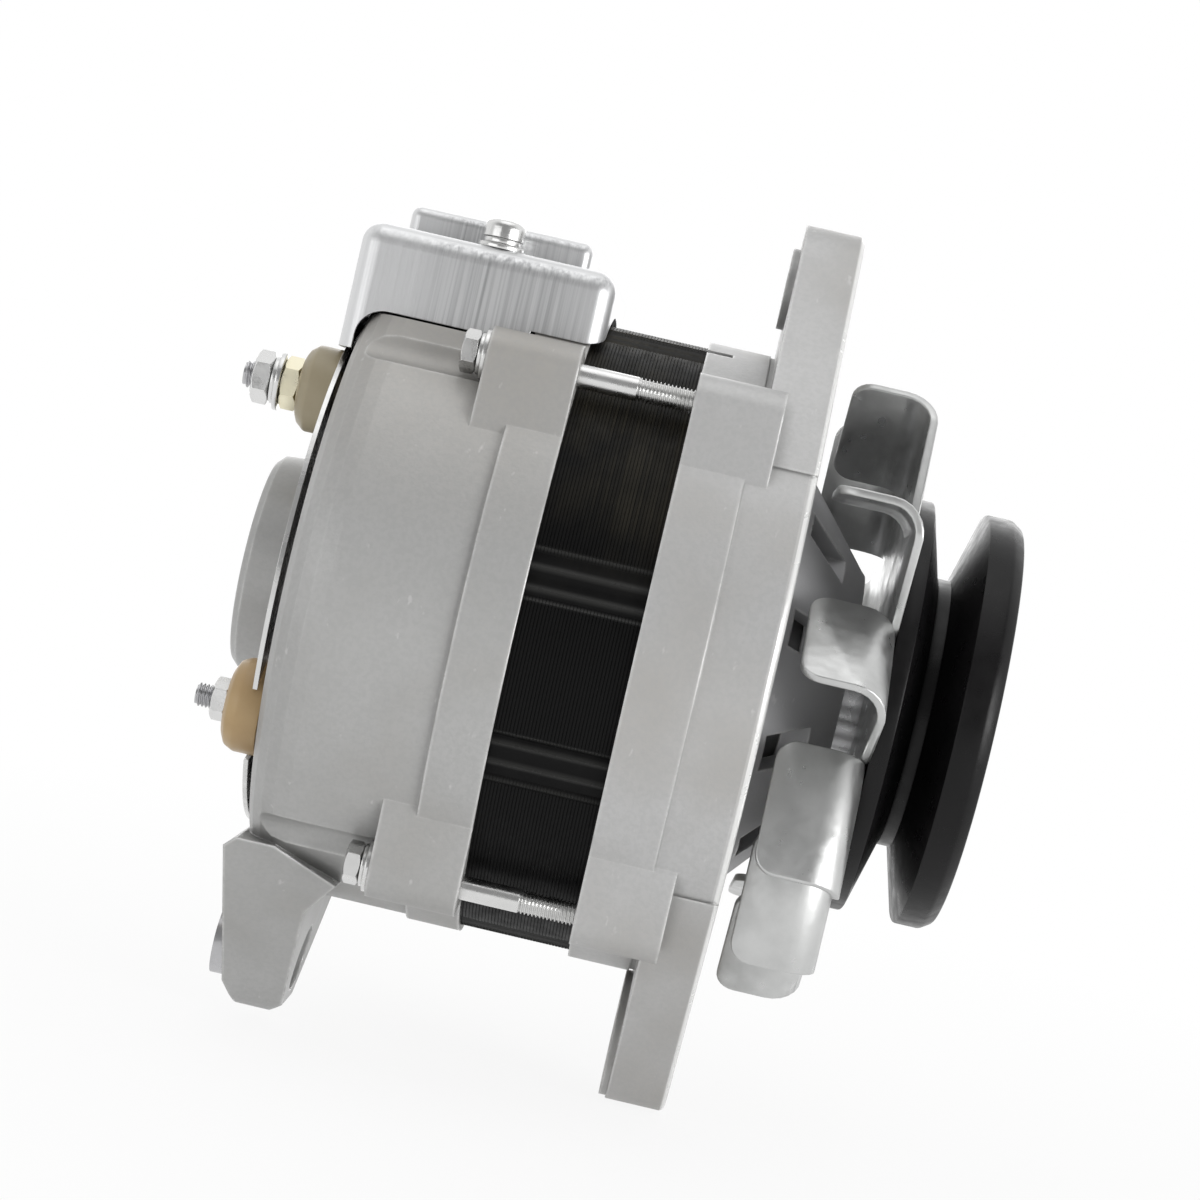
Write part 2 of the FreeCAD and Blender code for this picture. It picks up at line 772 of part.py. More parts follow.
def claw_pole(name, face, inner, tips, shift):
    """A pole disc with tapering claws folded over the coil."""
    radius, bore = value("rotor_radius"), value("shaft_shoulder + 0.02")
    root_depth, tip_depth = value("claw_depth"), value("claw_tip_depth")
    x_face, x_inner, x_tip = value(face), value(inner), value(tips)

    def section(x, depth, angle):
        half = math.radians(angle / 2)
        far = radius + 2
        near = radius - depth
        points = [Vector(x, r * math.sin(s * half), r * math.cos(s * half))
                  for r, s in ((near, -1), (far, -1), (far, 1), (near, 1))]
        return Part.makePolygon(points + [points[0]])

    root = value("claw_root_angle")
    spread = Part.makeLoft([section(x_inner, root_depth, root),
                            section(x_tip, tip_depth, value("claw_tip_angle"))], True, True)
    depth = radius - bore - value("pole_arm")
    arm = Part.makeLoft([section(x_face, depth, root * 0.82), section(x_inner, depth, root)],
                        True, True)
    hub = Part.makeCylinder(value("pole_core + 2"), abs(x_face - x_inner),
                            Vector(min(x_face, x_inner), 0, 0), X_AXIS)
    claws = []
    for i in range(CLAW_COUNT):
        for piece in (spread, arm):
            copy = piece.copy()
            copy.Placement = Placement(Vector(), Rotation(X_AXIS, shift + 360 * i / CLAW_COUNT))
            claws.append(copy)
    length = abs(x_face - x_tip)
    round_stock = Part.makeCylinder(radius, length, Vector(min(x_face, x_tip), 0, 0),
                                    X_AXIS)
    hole = Part.makeCylinder(bore, length, Vector(min(x_face, x_tip), 0, 0), X_AXIS)
    return plain(name, hub.fuse(claws).common(round_stock).cut(hole).removeSplitter())


def make_rotor():
    front_inner, rear_inner = "rotor_front - pole_disc", "rotor_rear + pole_disc"
    front_pole = claw_pole("front_claw_pole", "rotor_front", front_inner,
                           "rotor_rear + claw_clearance", 0)
    rear_pole = claw_pole("rear_claw_pole", "rotor_rear", rear_inner,
                          "rotor_front - claw_clearance", 180 / CLAW_COUNT)
    core = cut("pole_core_sleeve", rod("pole_core_bar", "pole_core", rear_inner, front_inner),
               rod("pole_core_hole", "shaft_shoulder + 0.02", f"{rear_inner} - 1",
                   f"{front_inner} + 1"))
    core.Label = "rotor_core"
    drum = "pole_core + bobbin_wall"
    bobbin = spun("coil_bobbin", [
        (rear_inner, "pole_core + 0.05"), (rear_inner, "coil_radius"),
        (f"{rear_inner} + bobbin_wall", "coil_radius"), (f"{rear_inner} + bobbin_wall", drum),
        (f"{front_inner} - bobbin_wall", drum), (f"{front_inner} - bobbin_wall", "coil_radius"),
        (front_inner, "coil_radius"), (front_inner, "pole_core + 0.05")])
    coil = spun("field_coil", [
        (f"{rear_inner} + bobbin_wall", drum + " + 0.05"),
        (f"{rear_inner} + bobbin_wall", "coil_radius - 1"),
        (f"{front_inner} - bobbin_wall", "coil_radius - 1"),
        (f"{front_inner} - bobbin_wall", drum + " + 0.05")])
    rings = []
    for place, sign in (("front", 1), ("rear", -1)):
        middle = f"-ring_middle + {sign}*ring_pitch/2"
        rings.append(cut(f"{place}_ring", rod(f"{place}_ring_disc", "ring_radius",
                                              f"{middle} - ring_width/2", f"{middle} + ring_width/2"),
                         rod(f"{place}_ring_hole", "ring_sleeve", f"{middle} - ring_width",
                             f"{middle} + ring_width")))
    rib = "(ring_pitch/2 - ring_width/2)"
    rear_end = "-ring_middle - ring_pitch/2 - ring_width/2"
    front_end = "-ring_middle + ring_pitch/2 + ring_width/2"
    low, high = "ring_sleeve - sleeve_wall", "ring_radius - sleeve_wall"
    sleeve = spun("slip_ring_sleeve", [
        (f"{rear_end} - sleeve_end", low), (f"{rear_end} - sleeve_end", high),
        (rear_end, high), (rear_end, "ring_sleeve"),
        (f"-ring_middle - {rib}", "ring_sleeve"), (f"-ring_middle - {rib}", high),
        (f"-ring_middle + {rib}", high), (f"-ring_middle + {rib}", "ring_sleeve"),
        (front_end, "ring_sleeve"), (front_end, high),
        (f"{front_end} + sleeve_end", high), (f"{front_end} + sleeve_end", low)])
    return [front_pole, rear_pole, core, bobbin, coil, together("slip_rings", rings), sleeve]


# Brackets

def lug(name, side, level, rear, front):
    """The ear that a through bolt passes, beside the housing's wall."""
    y, z = f"{side}*bolt_y", f"{level}*bolt_z"
    inner = "bracket_radius - lug_bite"

    def place(radius, angle):
        across, up = polar(radius, angle)
        return f"{side}*{across}", f"{level}*{up}"

    def beside(angle):
        across, up = polar("lug_radius", angle)
        return f"{side}*(bolt_y + {across})", f"{level}*(bolt_z + {up})"

    web = prism(f"{name}_web", [
        place(inner, "bolt_angle + 11"), beside("bolt_angle + 68"), beside("bolt_angle"),
        beside("bolt_angle - 50"), place(inner, "bolt_angle - 18")], rear, front)
    return [web, rod(f"{name}_round", "lug_radius", rear, front, y, z)]


def ear(name, level, reach, radius, lean, rear, front):
    """An ear whose sides run from the housing to a round tip, touching both circles."""
    def corner(side, around, centre):
        across, up = polar(around, lean)
        return f"{side}*{across}", f"{level}*({centre} + {up})"

    web = prism(f"{name}_web", [
        corner(-1, "bracket_radius", "0"), corner(-1, radius, reach),
        corner(1, radius, reach), corner(1, "bracket_radius", "0")], rear, front)
    tip = rod(f"{name}_tip", radius, rear, front, "0", f"{level}*({reach})")
    return joined(name, web, tip)


def front_rounded(name, base, radius):
    """Round the outline of a plate's front face."""
    doc.recompute()
    front = base.Shape.BoundBox.XMax
    low = value("bracket_radius")
    return rounded(name, base, radius, lambda edge: edge.BoundBox.XMin > front - 0.01
                   and max(abs(edge.BoundBox.ZMin), abs(edge.BoundBox.ZMax)) > low)


def corner_arc(face, side, radius, direction):
    """The corners of a rounded edge, from the side of a turned shell to its face."""
    steps = 5
    arc = []
    for i in range(steps + 1):
        angle = 90 * i / steps
        arc.append((f"{face} - {direction}*{radius}*(1 - sin({angle}))",
                    f"{side} - {radius}*(1 - cos({angle}))"))
    return arc


def rim_notch():
    """The locating notch in the front bracket's rim, beside the upper ear."""
    width, length = value("notch_width"), value("notch_length")
    rim, inside = value("-front_rim"), value("rebate_radius - 0.5")
    notch = Part.makeBox(length + PAST, value("bracket_wall + 2"), width,
                         Vector(rim - PAST, inside, -width / 2))
    notch.Placement = Placement(Vector(), Rotation(X_AXIS, NOTCH_ANGLE))
    return notch


def make_front_bracket():
    side_radius = "bracket_radius - front_step"
    shell = spun("front_shell", [
        ("-front_rim", "rebate_radius"), ("-front_rim", "bracket_radius"),
        ("-front_rim + front_band", "bracket_radius"), ("-front_rim + front_band", side_radius),
        *corner_arc("-front_face", side_radius, "front_corner", 1),
        ("-front_face", "cone_base"), ("nose - 1", "nose_radius"),
        ("nose", "nose_radius - 1"), ("nose", "shaft_radius + nose_eye"),
        ("bearing_front", "shaft_radius + nose_eye"), ("bearing_front", "front_bearing_radius"),
        ("bearing_rear", "front_bearing_radius"),
        ("bearing_rear", "front_bearing_radius + seat_wall"),
        ("bearing_front - cone_wall", "front_bearing_radius + seat_wall"),
        ("front_inside", "cone_base"), ("front_inside", "bore_radius"),
        ("core_front", "bore_radius"), ("core_front", "rebate_radius")])
    pieces = [shell]
    lug_front = "-front_rim + front_lug"
    for name, y, z, side, level in corner_bolts():
        pieces += lug(f"front_lug_{name}", side, level, "-front_rim", lug_front)
    for name, level, reach in (("upper", 1, "ear_reach"), ("lower", -1, "pivot_drop")):
        plate = ear(f"{name}_ear", level, reach, "ear_radius", f"{name}_ear_lean", "ear_rear",
                    "-front_face")
        pieces.append(front_rounded(f"{name}_ear_rounded", plate, "ear_round"))
    boss_rear = "ear_rear - ear_boss_depth"
    pieces.append(rod("upper_boss", "ear_boss", boss_rear, "ear_rear", "0", "ear_reach"))
    pieces.append(rod("lower_boss", "ear_radius - 0.6", boss_rear, "ear_rear", "0",
                      "-pivot_drop"))
    tools = [
        rod("front_core_room", "rebate_radius", "-front_rim - 1", "core_front"),
        rod("front_winding_room", "bore_radius", "core_front - 1", "front_inside"),
        rod("adjusting_hole", "adjusting_radius", f"{boss_rear} - 1", "-front_face + 1", "0",
            "ear_reach"),
        rod("front_pivot_hole", "pivot_radius", f"{boss_rear} - 1", "-front_face + 1", "0",
            "-pivot_drop"),
    ]
    for name, y, z, side, level in corner_bolts():
        tools.append(rod(f"front_thread_{name}", "bolt_radius", "-front_rim - 1",
                         "-front_rim + bolt_depth", y, z))
    for angle in RETAINER_SCREW_ANGLES:
        y, z = polar("retainer_circle", angle)
        tools.append(rod(f"retainer_thread_{angle}", "small_screw", "bearing_rear - 1",
                         "bearing_rear + retainer_reach + 1", y, z))
    doc.recompute()
    # Air windows between the ribs of the cone.
    high = value("cone_base - window_inset")
    low = high - value("window_height")
    start, stop = value("front_inside - 1"), value("nose")
    half = value("window_width") / 2
    windows = []
    count = int(value("window_count"))
    for i in range(count):
        window = Part.makeBox(stop - start, high - low, 2 * half, Vector(start, low, -half))
        window.Placement = Placement(Vector(), Rotation(X_AXIS, 360 * (i + 0.5) / count))
        windows.append(window)
    tools.append(plain("front_windows", Part.makeCompound(windows)))
    tools.append(plain("rim_notch", rim_notch()))
    return cut("front_bracket", joined("front_casting", *pieces), *tools)


def make_rear_bracket():
    side_radius = "bracket_radius - band_step"
    rear = "-rear_face"
    shell = spun("rear_shell", [
        ("-hub_end", "0"), ("-hub_end", "hub_radius - hub_chamfer"),
        ("-hub_end + hub_chamfer", "hub_radius"), (rear, "hub_radius + 1"),
        *reversed(corner_arc(rear, side_radius, "rear_corner", -1)),
        ("band_end", side_radius), ("band_end", "bracket_radius"),
        ("rear_rim", "bracket_radius"), ("rear_rim", "0")])
    flat = block("top_flat", (f"{rear} - 1", "band_end"), ("-bracket_radius", "bracket_radius"),
                 ("flat_height", "bracket_radius + 1"))
    channels = [rod(f"wrench_channel_{name}", "channel_radius", f"{rear} - 1", "lug_rear", y, z)
                for name, y, z, side, level in corner_bolts()]
    body = cut("rear_flatted", shell, flat, *channels)
    pieces = [body]
    for name, y, z, side, level in corner_bolts():
        pieces += lug(f"rear_lug_{name}", side, level, "lug_rear", "rear_rim")
    drop = "-pivot_drop"
    bottom = f"{drop} - foot_radius"
    sole_rear = "-foot_front - foot_toe - sole_length"
    profile = slab("foot_profile", [
        ("-foot_front + foot_toe", "-bracket_radius + 8"), ("-foot_front", "-bracket_radius"),
        ("-foot_front - toe_taper", f"{bottom} + toe_bevel"),
        ("-foot_front - foot_toe", bottom), (sole_rear, bottom),
        (f"{sole_rear} - sole_taper", f"{bottom} + heel_bevel"),
        ("-foot_heel", "-plate_radius - heel_drop"), (rear, "-plate_radius + 1"),
        (f"{rear} + 8", "-plate_radius + 1")], "bracket_radius")
    foot_shape = ear("foot_shape", -1, "pivot_drop", "foot_radius", "foot_lean",
                     "-foot_heel - 1", "-foot_front + 8")
    pieces.append(shared("foot", profile, foot_shape))
    for sign, side in ((1, "far"), (-1, "near")):
        pieces.append(post(f"{side}_cover_post", "cover_post", "flat_inside", "cover_inside",
                           "-cover_screw_x", f"{sign}*cover_screw_y"))
    for angle in PLATE_SCREW_ANGLES:
        y, z = polar("plate_screw_circle", angle)
        pieces.append(rod(f"plate_pad_{angle}", "pad_radius", "plate_front", f"{rear} + 1",
                          y, z))
    hollow = rod("rear_hollow", "bore_radius", "rear_inside", "band_end")
    under_flat = block("under_flat", ("rear_inside - 1", "band_end + 1"),
                       ("-bracket_radius", "bracket_radius"), ("-bracket_radius", "flat_inside"))
    tools = [
        shared("rear_room", hollow, under_flat),
        rod("rear_winding_room", "bore_radius", "band_end - 0.1", "rear_rim"),
        rod("rear_core_room", "rebate_radius", "core_rear", "rear_rim + 1"),
        rod("rear_bearing_seat", "rear_bearing_radius", "rear_bearing_rear - 1.2",
            "rear_inside + 1"),
        rod("bush_hole", "bush_radius", "-foot_heel - 1", "-foot_front + 8", "0", drop),
        block("brush_window", ("holder_rear - 1", "holder_front + 1"),
              ("-holder_half - 1", "holder_half + 1"), ("flat_inside - 1", "flat_height + 1")),
        rod("battery_hole", "battery_flats/2", f"{rear} - 1", "rear_inside + 1", "battery_y",
            "battery_z"),
        rod("field_hole", "field_flats/2", f"{rear} - 1", "rear_inside + 1", "field_y",
            "field_z"),
    ]
    for sign, side in ((1, "far"), (-1, "near")):
        tools.append(post(f"{side}_post_thread", "cover_thread", "flat_height + 6",
                          "cover_inside + 1",
                          "-cover_screw_x", f"{sign}*cover_screw_y"))
    for name, y, z, side, level in corner_bolts():
        tools.append(rod(f"rear_bolt_hole_{name}", "bolt_radius + 0.3", "lug_rear - 1",
                         "rear_rim + 1", y, z))
    for angle in PLATE_SCREW_ANGLES:
        y, z = polar("plate_screw_circle", angle)
        tools.append(rod(f"plate_thread_{angle}", "small_screw", "plate_front - 1",
                         "rear_inside + 1", y, z))
    doc.recompute()
    # Air inlets round the hub, behind the end plate.
    low, height, width = (value("hub_radius + inlet_stand"), value("inlet_height"),
                          value("inlet_width"))
    start, deep = value(f"{rear} - 1"), value("rear_wall + 2")
    inlets = []
    for i in range(INLET_COUNT):
        inlet = Part.makeBox(deep, height, width, Vector(start, low, -width / 2))
        inlet.Placement = Placement(Vector(), Rotation(X_AXIS, 360 * (i + 0.5) / INLET_COUNT))
        inlets.append(inlet)
    tools.append(plain("rear_inlets", Part.makeCompound(inlets)))
    return cut("rear_bracket", joined("rear_casting", *pieces), *tools)


# Fasteners

def make_through_bolts():
    bolts, washers = [], []
    for name, y, z, side, level in corner_bolts():
        seat = "lug_rear - washer_height"
        head = hexagon(f"bolt_head_{name}", "bolt_flats", f"{seat} - bolt_head", seat, y, z)
        shank = rod(f"bolt_shank_{name}", "bolt_radius", f"{seat} - 0.5",
                    "-front_rim + bolt_depth - 1", y, z)
        bolts.append(joined(f"bolt_{name}", head, shank))
        washers.append(cut(f"bolt_washer_{name}",
                           joined(f"washer_pair_{name}",
                                  rod(f"flat_washer_{name}", "washer_radius",
                                      "lug_rear - washer_height/2", "lug_rear", y, z),
                                  rod(f"lock_washer_{name}", "washer_radius - 0.9", seat,
                                      "lug_rear - washer_height/2", y, z)),
                           rod(f"washer_bore_{name}", "bolt_radius + 0.1", f"{seat} - 1",
                               "lug_rear + 1", y, z)))
    return [together("through_bolts", bolts), together("bolt_washers", washers)]


def make_retainer():
    margin = ("retainer_rear - 1", "bearing_rear + 1")
    plate = cut("retainer_blank", rod("retainer_disc", "front_bearing_radius + retainer_rim",
                                      "retainer_rear", "bearing_rear"),
                rod("retainer_hole", "front_bearing_radius - seat_wall", *margin))
    holes, screws = [], []
    for angle in RETAINER_SCREW_ANGLES:
        y, z = polar("retainer_circle", angle)
        holes.append(rod(f"retainer_hole_{angle}", "small_screw + 0.1", *margin, y, z))
        screws.append(joined(f"retainer_screw_{angle}",
                             rod(f"retainer_head_{angle}", "small_head - 0.3",
                                 "retainer_rear - small_head_height", "retainer_rear", y, z),
                             rod(f"retainer_shank_{angle}", "small_screw", "retainer_rear - 1",
                                 "bearing_rear + retainer_reach", y, z)))
    return [cut("bearing_retainer", plate, *holes), together("retainer_screws", screws)]


def make_end_plate():
    disc = rod("plate_disc", "plate_radius", "plate_rear", "plate_front")
    margin = ("plate_rear - 1", "plate_front + 1")
    tools = [rod("plate_inlet_hole", "plate_inlet", *margin),
             rod("plate_battery_hole", "battery_flats/2 + 0.2", *margin, "battery_y", "battery_z"),
             rod("plate_field_hole", "field_flange + 1.2", *margin, "field_y", "field_z")]
    screws = []
    for angle in PLATE_SCREW_ANGLES:
        y, z = polar("plate_screw_circle", angle)
        tools.append(rod(f"plate_hole_{angle}", "small_screw + 0.1", *margin, y, z))
        screws.append(joined(f"plate_screw_{angle}",
                             rod(f"plate_head_{angle}", "small_head",
                                 "plate_rear - small_head_height", "plate_rear", y, z),
                             rod(f"plate_shank_{angle}", "small_screw", "plate_rear - 1",
                                 "rear_inside", y, z)))
    return [cut("rear_end_plate", disc, *tools), together("plate_screws", screws)]


def make_pivot_bush():
    ends = ("-foot_heel - bush_overhang", "-foot_front - bush_inset")
    return cut("pivot_bush", rod("bush_bar", "bush_radius", *ends, "0", "-pivot_drop"),
               rod("bush_bore", "pivot_radius", "-foot_heel - bush_overhang - 1", "-foot_front",
                   "0", "-pivot_drop"))


# Brushes and regulator

def make_brush_gear():
    made = []
    body = joined("holder_blank",
                  block("holder_tower", ("holder_rear", "holder_front"),
                        ("-holder_half", "holder_half"), ("ring_radius + 3", "holder_top")),
                  block("holder_flange",
                        ("holder_rear - flange_length", "holder_front + flange_length"),
                        ("-holder_half - flange_width", "holder_half + flange_width"),
                        ("flat_height", "holder_top")))
    channels = []
    for place, sign in (("front", 1), ("rear", -1)):
        middle = f"-ring_middle + {sign}*ring_pitch/2"
        brush = block(f"{place}_brush", (f"{middle} - brush_width/2", f"{middle} + brush_width/2"),
                      ("-brush_depth/2", "brush_depth/2"), ("brush_foot", "brush_top"))
        half_x, half_y = "(brush_width/2 + brush_slack)", "(brush_depth/2 + brush_slack)"
        channels.append(block(f"{place}_channel", (f"{middle} - {half_x}", f"{middle} + {half_x}"),
                              (f"-{half_y}", half_y), ("ring_radius", "spring_top")))
        spring = cut(f"{place}_brush_spring",
                     post(f"{place}_spring_bar", "brush_width/2 - 0.4", "brush_top", "spring_top",
                          middle),
                     post(f"{place}_spring_hole", "brush_width/2 - 0.4 - wire_gap", "brush_top - 1",
                          "spring_top + 1", middle))
        made += [brush, spring]
    holder = cut("brush_holder", body, *channels)
    regulator = block("voltage_regulator", ("holder_rear - 3", "band_end - 1.5"),
                      ("-cover_screw_y + regulator_margin", "cover_screw_y - regulator_margin"),
                      ("holder_top", "cover_inside - regulator_margin"))
    return made + [holder, regulator]


def make_cover():
    """The folded tray over the regulator, with its raised middle."""
    def upright(edge):
        box = edge.BoundBox
        return box.ZLength > 5 and box.XLength < 0.01 and box.YLength < 0.01

    def upper(edge, height):
        return edge.BoundBox.ZMin > height - 0.01

    def tray(name, inset, low):
        width = f"cover_half_width - {inset}"
        raw = block(f"{name}_block", (f"-cover_rear + {inset}", f"-cover_front - {inset}"),
                    (f"-({width})", width), (low, f"cover_top - {inset}"))
        doc.recompute()
        top = raw.Shape.BoundBox.ZMax
        return rounded(name, raw, f"cover_corner - {inset}",
                       lambda edge: upright(edge) or upper(edge, top))

    def raised(name, inset):
        width = f"plateau_half_width - {inset}"
        raw = block(f"{name}_block", (f"-plateau_rear + {inset}", f"-plateau_front - {inset}"),
                    (f"-({width})", width), ("cover_inside - 1", f"plateau_top - {inset}"))
        doc.recompute()
        top = raw.Shape.BoundBox.ZMax
        return rounded(name, raw, f"plateau_corner - {inset}",
                       lambda edge: upright(edge) or upper(edge, top))

    outside = joined("cover_outside", tray("tray", "0", "cover_drop"), raised("plateau", "0"))
    inside = joined("cover_hollow", tray("tray_room", "cover_sheet", "cover_drop - 1"),
                    raised("plateau_room", "cover_sheet"))
    skirt_block = block("skirt_block", ("-rear_face - 0.6", "-cover_front + 1"),
                        ("-cover_half_width - 1", "cover_half_width + 1"),
                        ("cover_drop - 2", "cover_foot"))
    doc.recompute()
    box = skirt_block.Shape.BoundBox
    skirt = rounded("skirt_cut", skirt_block, "apron_corner",
                    lambda edge: edge.BoundBox.ZMin > box.ZMax - 0.01
                    and edge.BoundBox.XMax < box.XMin + 0.01)
    arch = rod("band_arch", "bracket_radius + 0.4", "band_end - 1", "-cover_front + 1")
    holes = [post(f"cover_hole_{side}", "cover_thread + 0.2", "cover_inside - 2", "cover_top + 2",
                  "-cover_screw_x", f"{sign}*cover_screw_y")
             for sign, side in ((1, "far"), (-1, "near"))]
    cover = cut("regulator_cover", outside, inside, skirt, arch, *holes)
    screws, washers = [], []
    for sign, side in ((1, "far"), (-1, "near")):
        at = ("-cover_screw_x", f"{sign}*cover_screw_y")
        crown = "cover_seat + cover_head_height"
        screws.append(joined(f"cover_screw_{side}",
                             post(f"cover_head_{side}", "cover_head", "cover_seat", crown, *at),
                             post(f"cover_cap_{side}", "cover_crown", crown,
                                  f"{crown} + cover_crown_height", *at),
                             post(f"cover_shank_{side}", "cover_thread", "flat_height + 9",
                                  "cover_seat + 1", *at)))
        split = "cover_top + cover_washer_sheet"
        washers.append(cut(f"cover_washer_{side}",
                           joined(f"cover_washer_pair_{side}",
                                  post(f"cover_flat_{side}", "cover_washer", "cover_top", split,
                                       *at),
                                  post(f"cover_lock_{side}", "cover_lock", split, "cover_seat",
                                       *at)),
                           post(f"cover_washer_hole_{side}", "cover_thread + 0.1",
                                "cover_top - 1", "cover_seat + 1", *at)))
    return [cover, together("cover_screws", screws), together("cover_washers", washers)]


# Terminals and rectifier

def make_battery_terminal():
    at = ("battery_y", "battery_z")
    tapped = f"battery_pitch + {FIT}"
    stud = joined("battery_stud",
                  rod("battery_tip", "battery_radius", "battery_end", "battery_nut_rear", *at),
                  rod("battery_shank", "battery_pitch", "battery_nut_rear - 1", "positive_front",
                      *at),
                  hexagon("battery_head", "battery_flats", "positive_front",
                          "positive_front + stud_head", *at))
    shoulder = "battery_seat + battery_flange_depth"
    insulator = cut("battery_insulator", joined(
        "battery_insulator_blank",
        spun_at("battery_rim", [
            ("battery_seat", "battery_face"), ("battery_seat + 0.8", "battery_flange - 1.4"),
            ("battery_seat + 2.5", "battery_flange"), (shoulder, "battery_flange")], at),
        rod("battery_neck", "battery_flats/2", shoulder, "positive_rear", *at)),
        rod("battery_insulator_hole", tapped, "battery_seat - 1", "positive_front + 1", *at))
    spacer = cut("battery_lower_nut",
                 hexagon("battery_spacer_hex", "battery_flats", "battery_spacer_rear",
                         "battery_seat", *at),
                 rod("battery_spacer_hole", tapped, "battery_spacer_rear - 1", "battery_seat + 1",
                     *at))
    washers = cut("battery_washers", joined(
        "battery_washer_pair",
        rod("battery_flat", "battery_washer", "battery_washer_rear", "battery_spacer_rear", *at),
        rod("battery_split", "battery_lock", "battery_lock_rear", "battery_washer_rear", *at)),
        rod("battery_washer_hole", "battery_radius + 0.2", "battery_lock_rear - 1",
            "battery_spacer_rear + 1", *at))
    nut = cut("battery_nut",
              hexagon("battery_nut_hex", "battery_flats", "battery_nut_rear", "battery_lock_rear",
                      *at),
              rod("battery_nut_hole", tapped, "battery_nut_rear - 1", "battery_lock_rear + 1",
                  *at))
    return [stud, insulator, spacer, washers, nut]


def spun_at(name, corners, at):
    """A turned body moved off the shaft's axis."""
    outer = [(corners[0][0], "0")] + corners + [(corners[-1][0], "0")]
    return bind(spun(name, outer), Base_y=at[0], Base_z=at[1])


def make_field_terminal():
    at = ("field_y", "field_z")
    rear = "-rear_face"
    tapped = f"field_pitch + {FIT}"
    stud = joined("field_stud",
                  rod("field_tip", "field_radius", "field_end", "field_nut_rear", *at),
                  rod("field_shank", "field_pitch", "field_nut_rear - 1", "field_collar_front + 1",
                      *at),
                  hexagon("field_head", "field_flats", "field_collar_front",
                          "field_collar_front + stud_head - 0.5", *at))
    insulator = cut("field_insulator", joined(
        "field_insulator_blank",
        spun_at("field_rim", [
            ("field_seat", "field_face"), ("field_seat + 1", "field_flange - 1"),
            ("field_seat + 3", "field_flange"), (rear, "field_flange")], at),
        rod("field_neck", "field_flats/2", rear, "rear_inside", *at),
        rod("field_inner", "field_flats/2 + field_collar", "rear_inside", "field_collar_front",
            *at)),
        rod("field_insulator_hole", tapped, "field_seat - 1", "field_collar_front + 1", *at))
    nut = cut("field_nut",
              hexagon("field_nut_hex", "field_flats", "field_nut_rear", "field_seat", *at),
              rod("field_nut_hole", tapped, "field_nut_rear - 1", "field_seat + 1", *at))
    return [stud, insulator, nut]


def heat_sink(name, rear, front, extra):
    """A horseshoe plate, open at the top for the brush holder."""
    ring = rod(f"{name}_disc", "sink_radius", rear, front)
    margin = (f"{rear} - 1", f"{front} + 1")
    tools = [rod(f"{name}_bore", "sink_bore", *margin),
             block(f"{name}_mouth", margin, ("-holder_half - 3", "holder_half + 3"),
                   ("0", "sink_radius + 1"))]
    for angle in DIODE_ANGLES:
        tools.append(rod(f"{name}_seat_{angle}", "diode_radius", *margin,
                         *polar("diode_circle", angle)))
    return cut(name, ring, *tools, *extra)


def diodes(name, rear, front):
    made = []
    for angle in DIODE_ANGLES:
        at = polar("diode_circle", angle)
        made.append(joined(f"{name}_{angle}",
                           rod(f"{name}_can_{angle}", "diode_radius", rear,
                               f"{front} + diode_height", *at),
                           rod(f"{name}_lead_{angle}", "lead_radius", front,
                               f"{front} + diode_height + lead_length", *at)))
    return together(name, made)


def make_rectifier():
    positive = heat_sink("positive_heat_sink", "positive_rear", "positive_front",
                         [rod("positive_stud_hole", f"battery_pitch + {FIT}", "positive_rear - 1",
                              "positive_front + 1", "battery_y", "battery_z")])
    negative = heat_sink("negative_heat_sink", "rear_inside", "negative_front",
                         [rod("negative_stud_hole", "battery_flats/2 + 0.2", "rear_inside - 1",
                              "negative_front + 1", "battery_y", "battery_z"),
                          rod("negative_field_hole", "field_flats/2 + field_collar + 0.5",
                              "rear_inside - 1",
                              "negative_front + 1", "field_y", "field_z")])
    return [positive, negative, diodes("positive_diodes", "positive_rear", "positive_front"),
            diodes("negative_diodes", "rear_inside", "negative_front")]


nodes = [make_pulley(), make_shaft(), *make_drive_end(), make_fan()]
nodes += make_bearing("front", "bearing_rear", "bearing_front", "front_bearing_radius",
                      "shaft_radius", "front_pitch", "front_ball")
nodes += make_bearing("rear", "rear_bearing_rear", "rear_bearing_front", "rear_bearing_radius",
                      "rear_bearing_bore", "rear_pitch", "rear_ball")
nodes += make_stator()
nodes += make_rotor()
nodes += [make_front_bracket(), make_rear_bracket(), make_pivot_bush()]
nodes += make_through_bolts() + make_retainer() + make_end_plate()
nodes += make_brush_gear() + make_cover()
nodes += make_battery_terminal() + make_field_terminal() + make_rectifier()
doc.recompute()

for thing in doc.Objects:
    if {"Invalid", "Error"} & set(thing.State):
        raise RuntimeError(f"{thing.Label} failed: {thing.State}")
for node in nodes:
    if node.Shape.isNull() or not node.Shape.isValid() or not node.Shape.Solids:
        raise RuntimeError(f"{node.Label} has no valid shape")

os.makedirs("parts", exist_ok=True)
for node in nodes:
    node.Shape.exportStep(os.path.join("parts", node.Label + ".step"))
    box = node.Shape.BoundBox
    print(f"{node.Label:24s} solids {len(node.Shape.Solids):2d}  volume {node.Shape.Volume:10.1f}"
          f"  x {box.XMin:7.1f} {box.XMax:7.1f}  y {box.YMin:6.1f} {box.YMax:6.1f}"
          f"  z {box.ZMin:6.1f} {box.ZMax:6.1f}")
print(len(nodes), "nodes")
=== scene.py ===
"""The looks of a belt-driven alternator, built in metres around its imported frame."""

import json
import logging
import math
from collections.abc import Sequence
from dataclasses import dataclass, replace
from enum import Enum
from typing import ClassVar

import bmesh
import bpy
from bmesh.types import BMEdge, BMesh, BMVert
from mathutils import Matrix, Vector


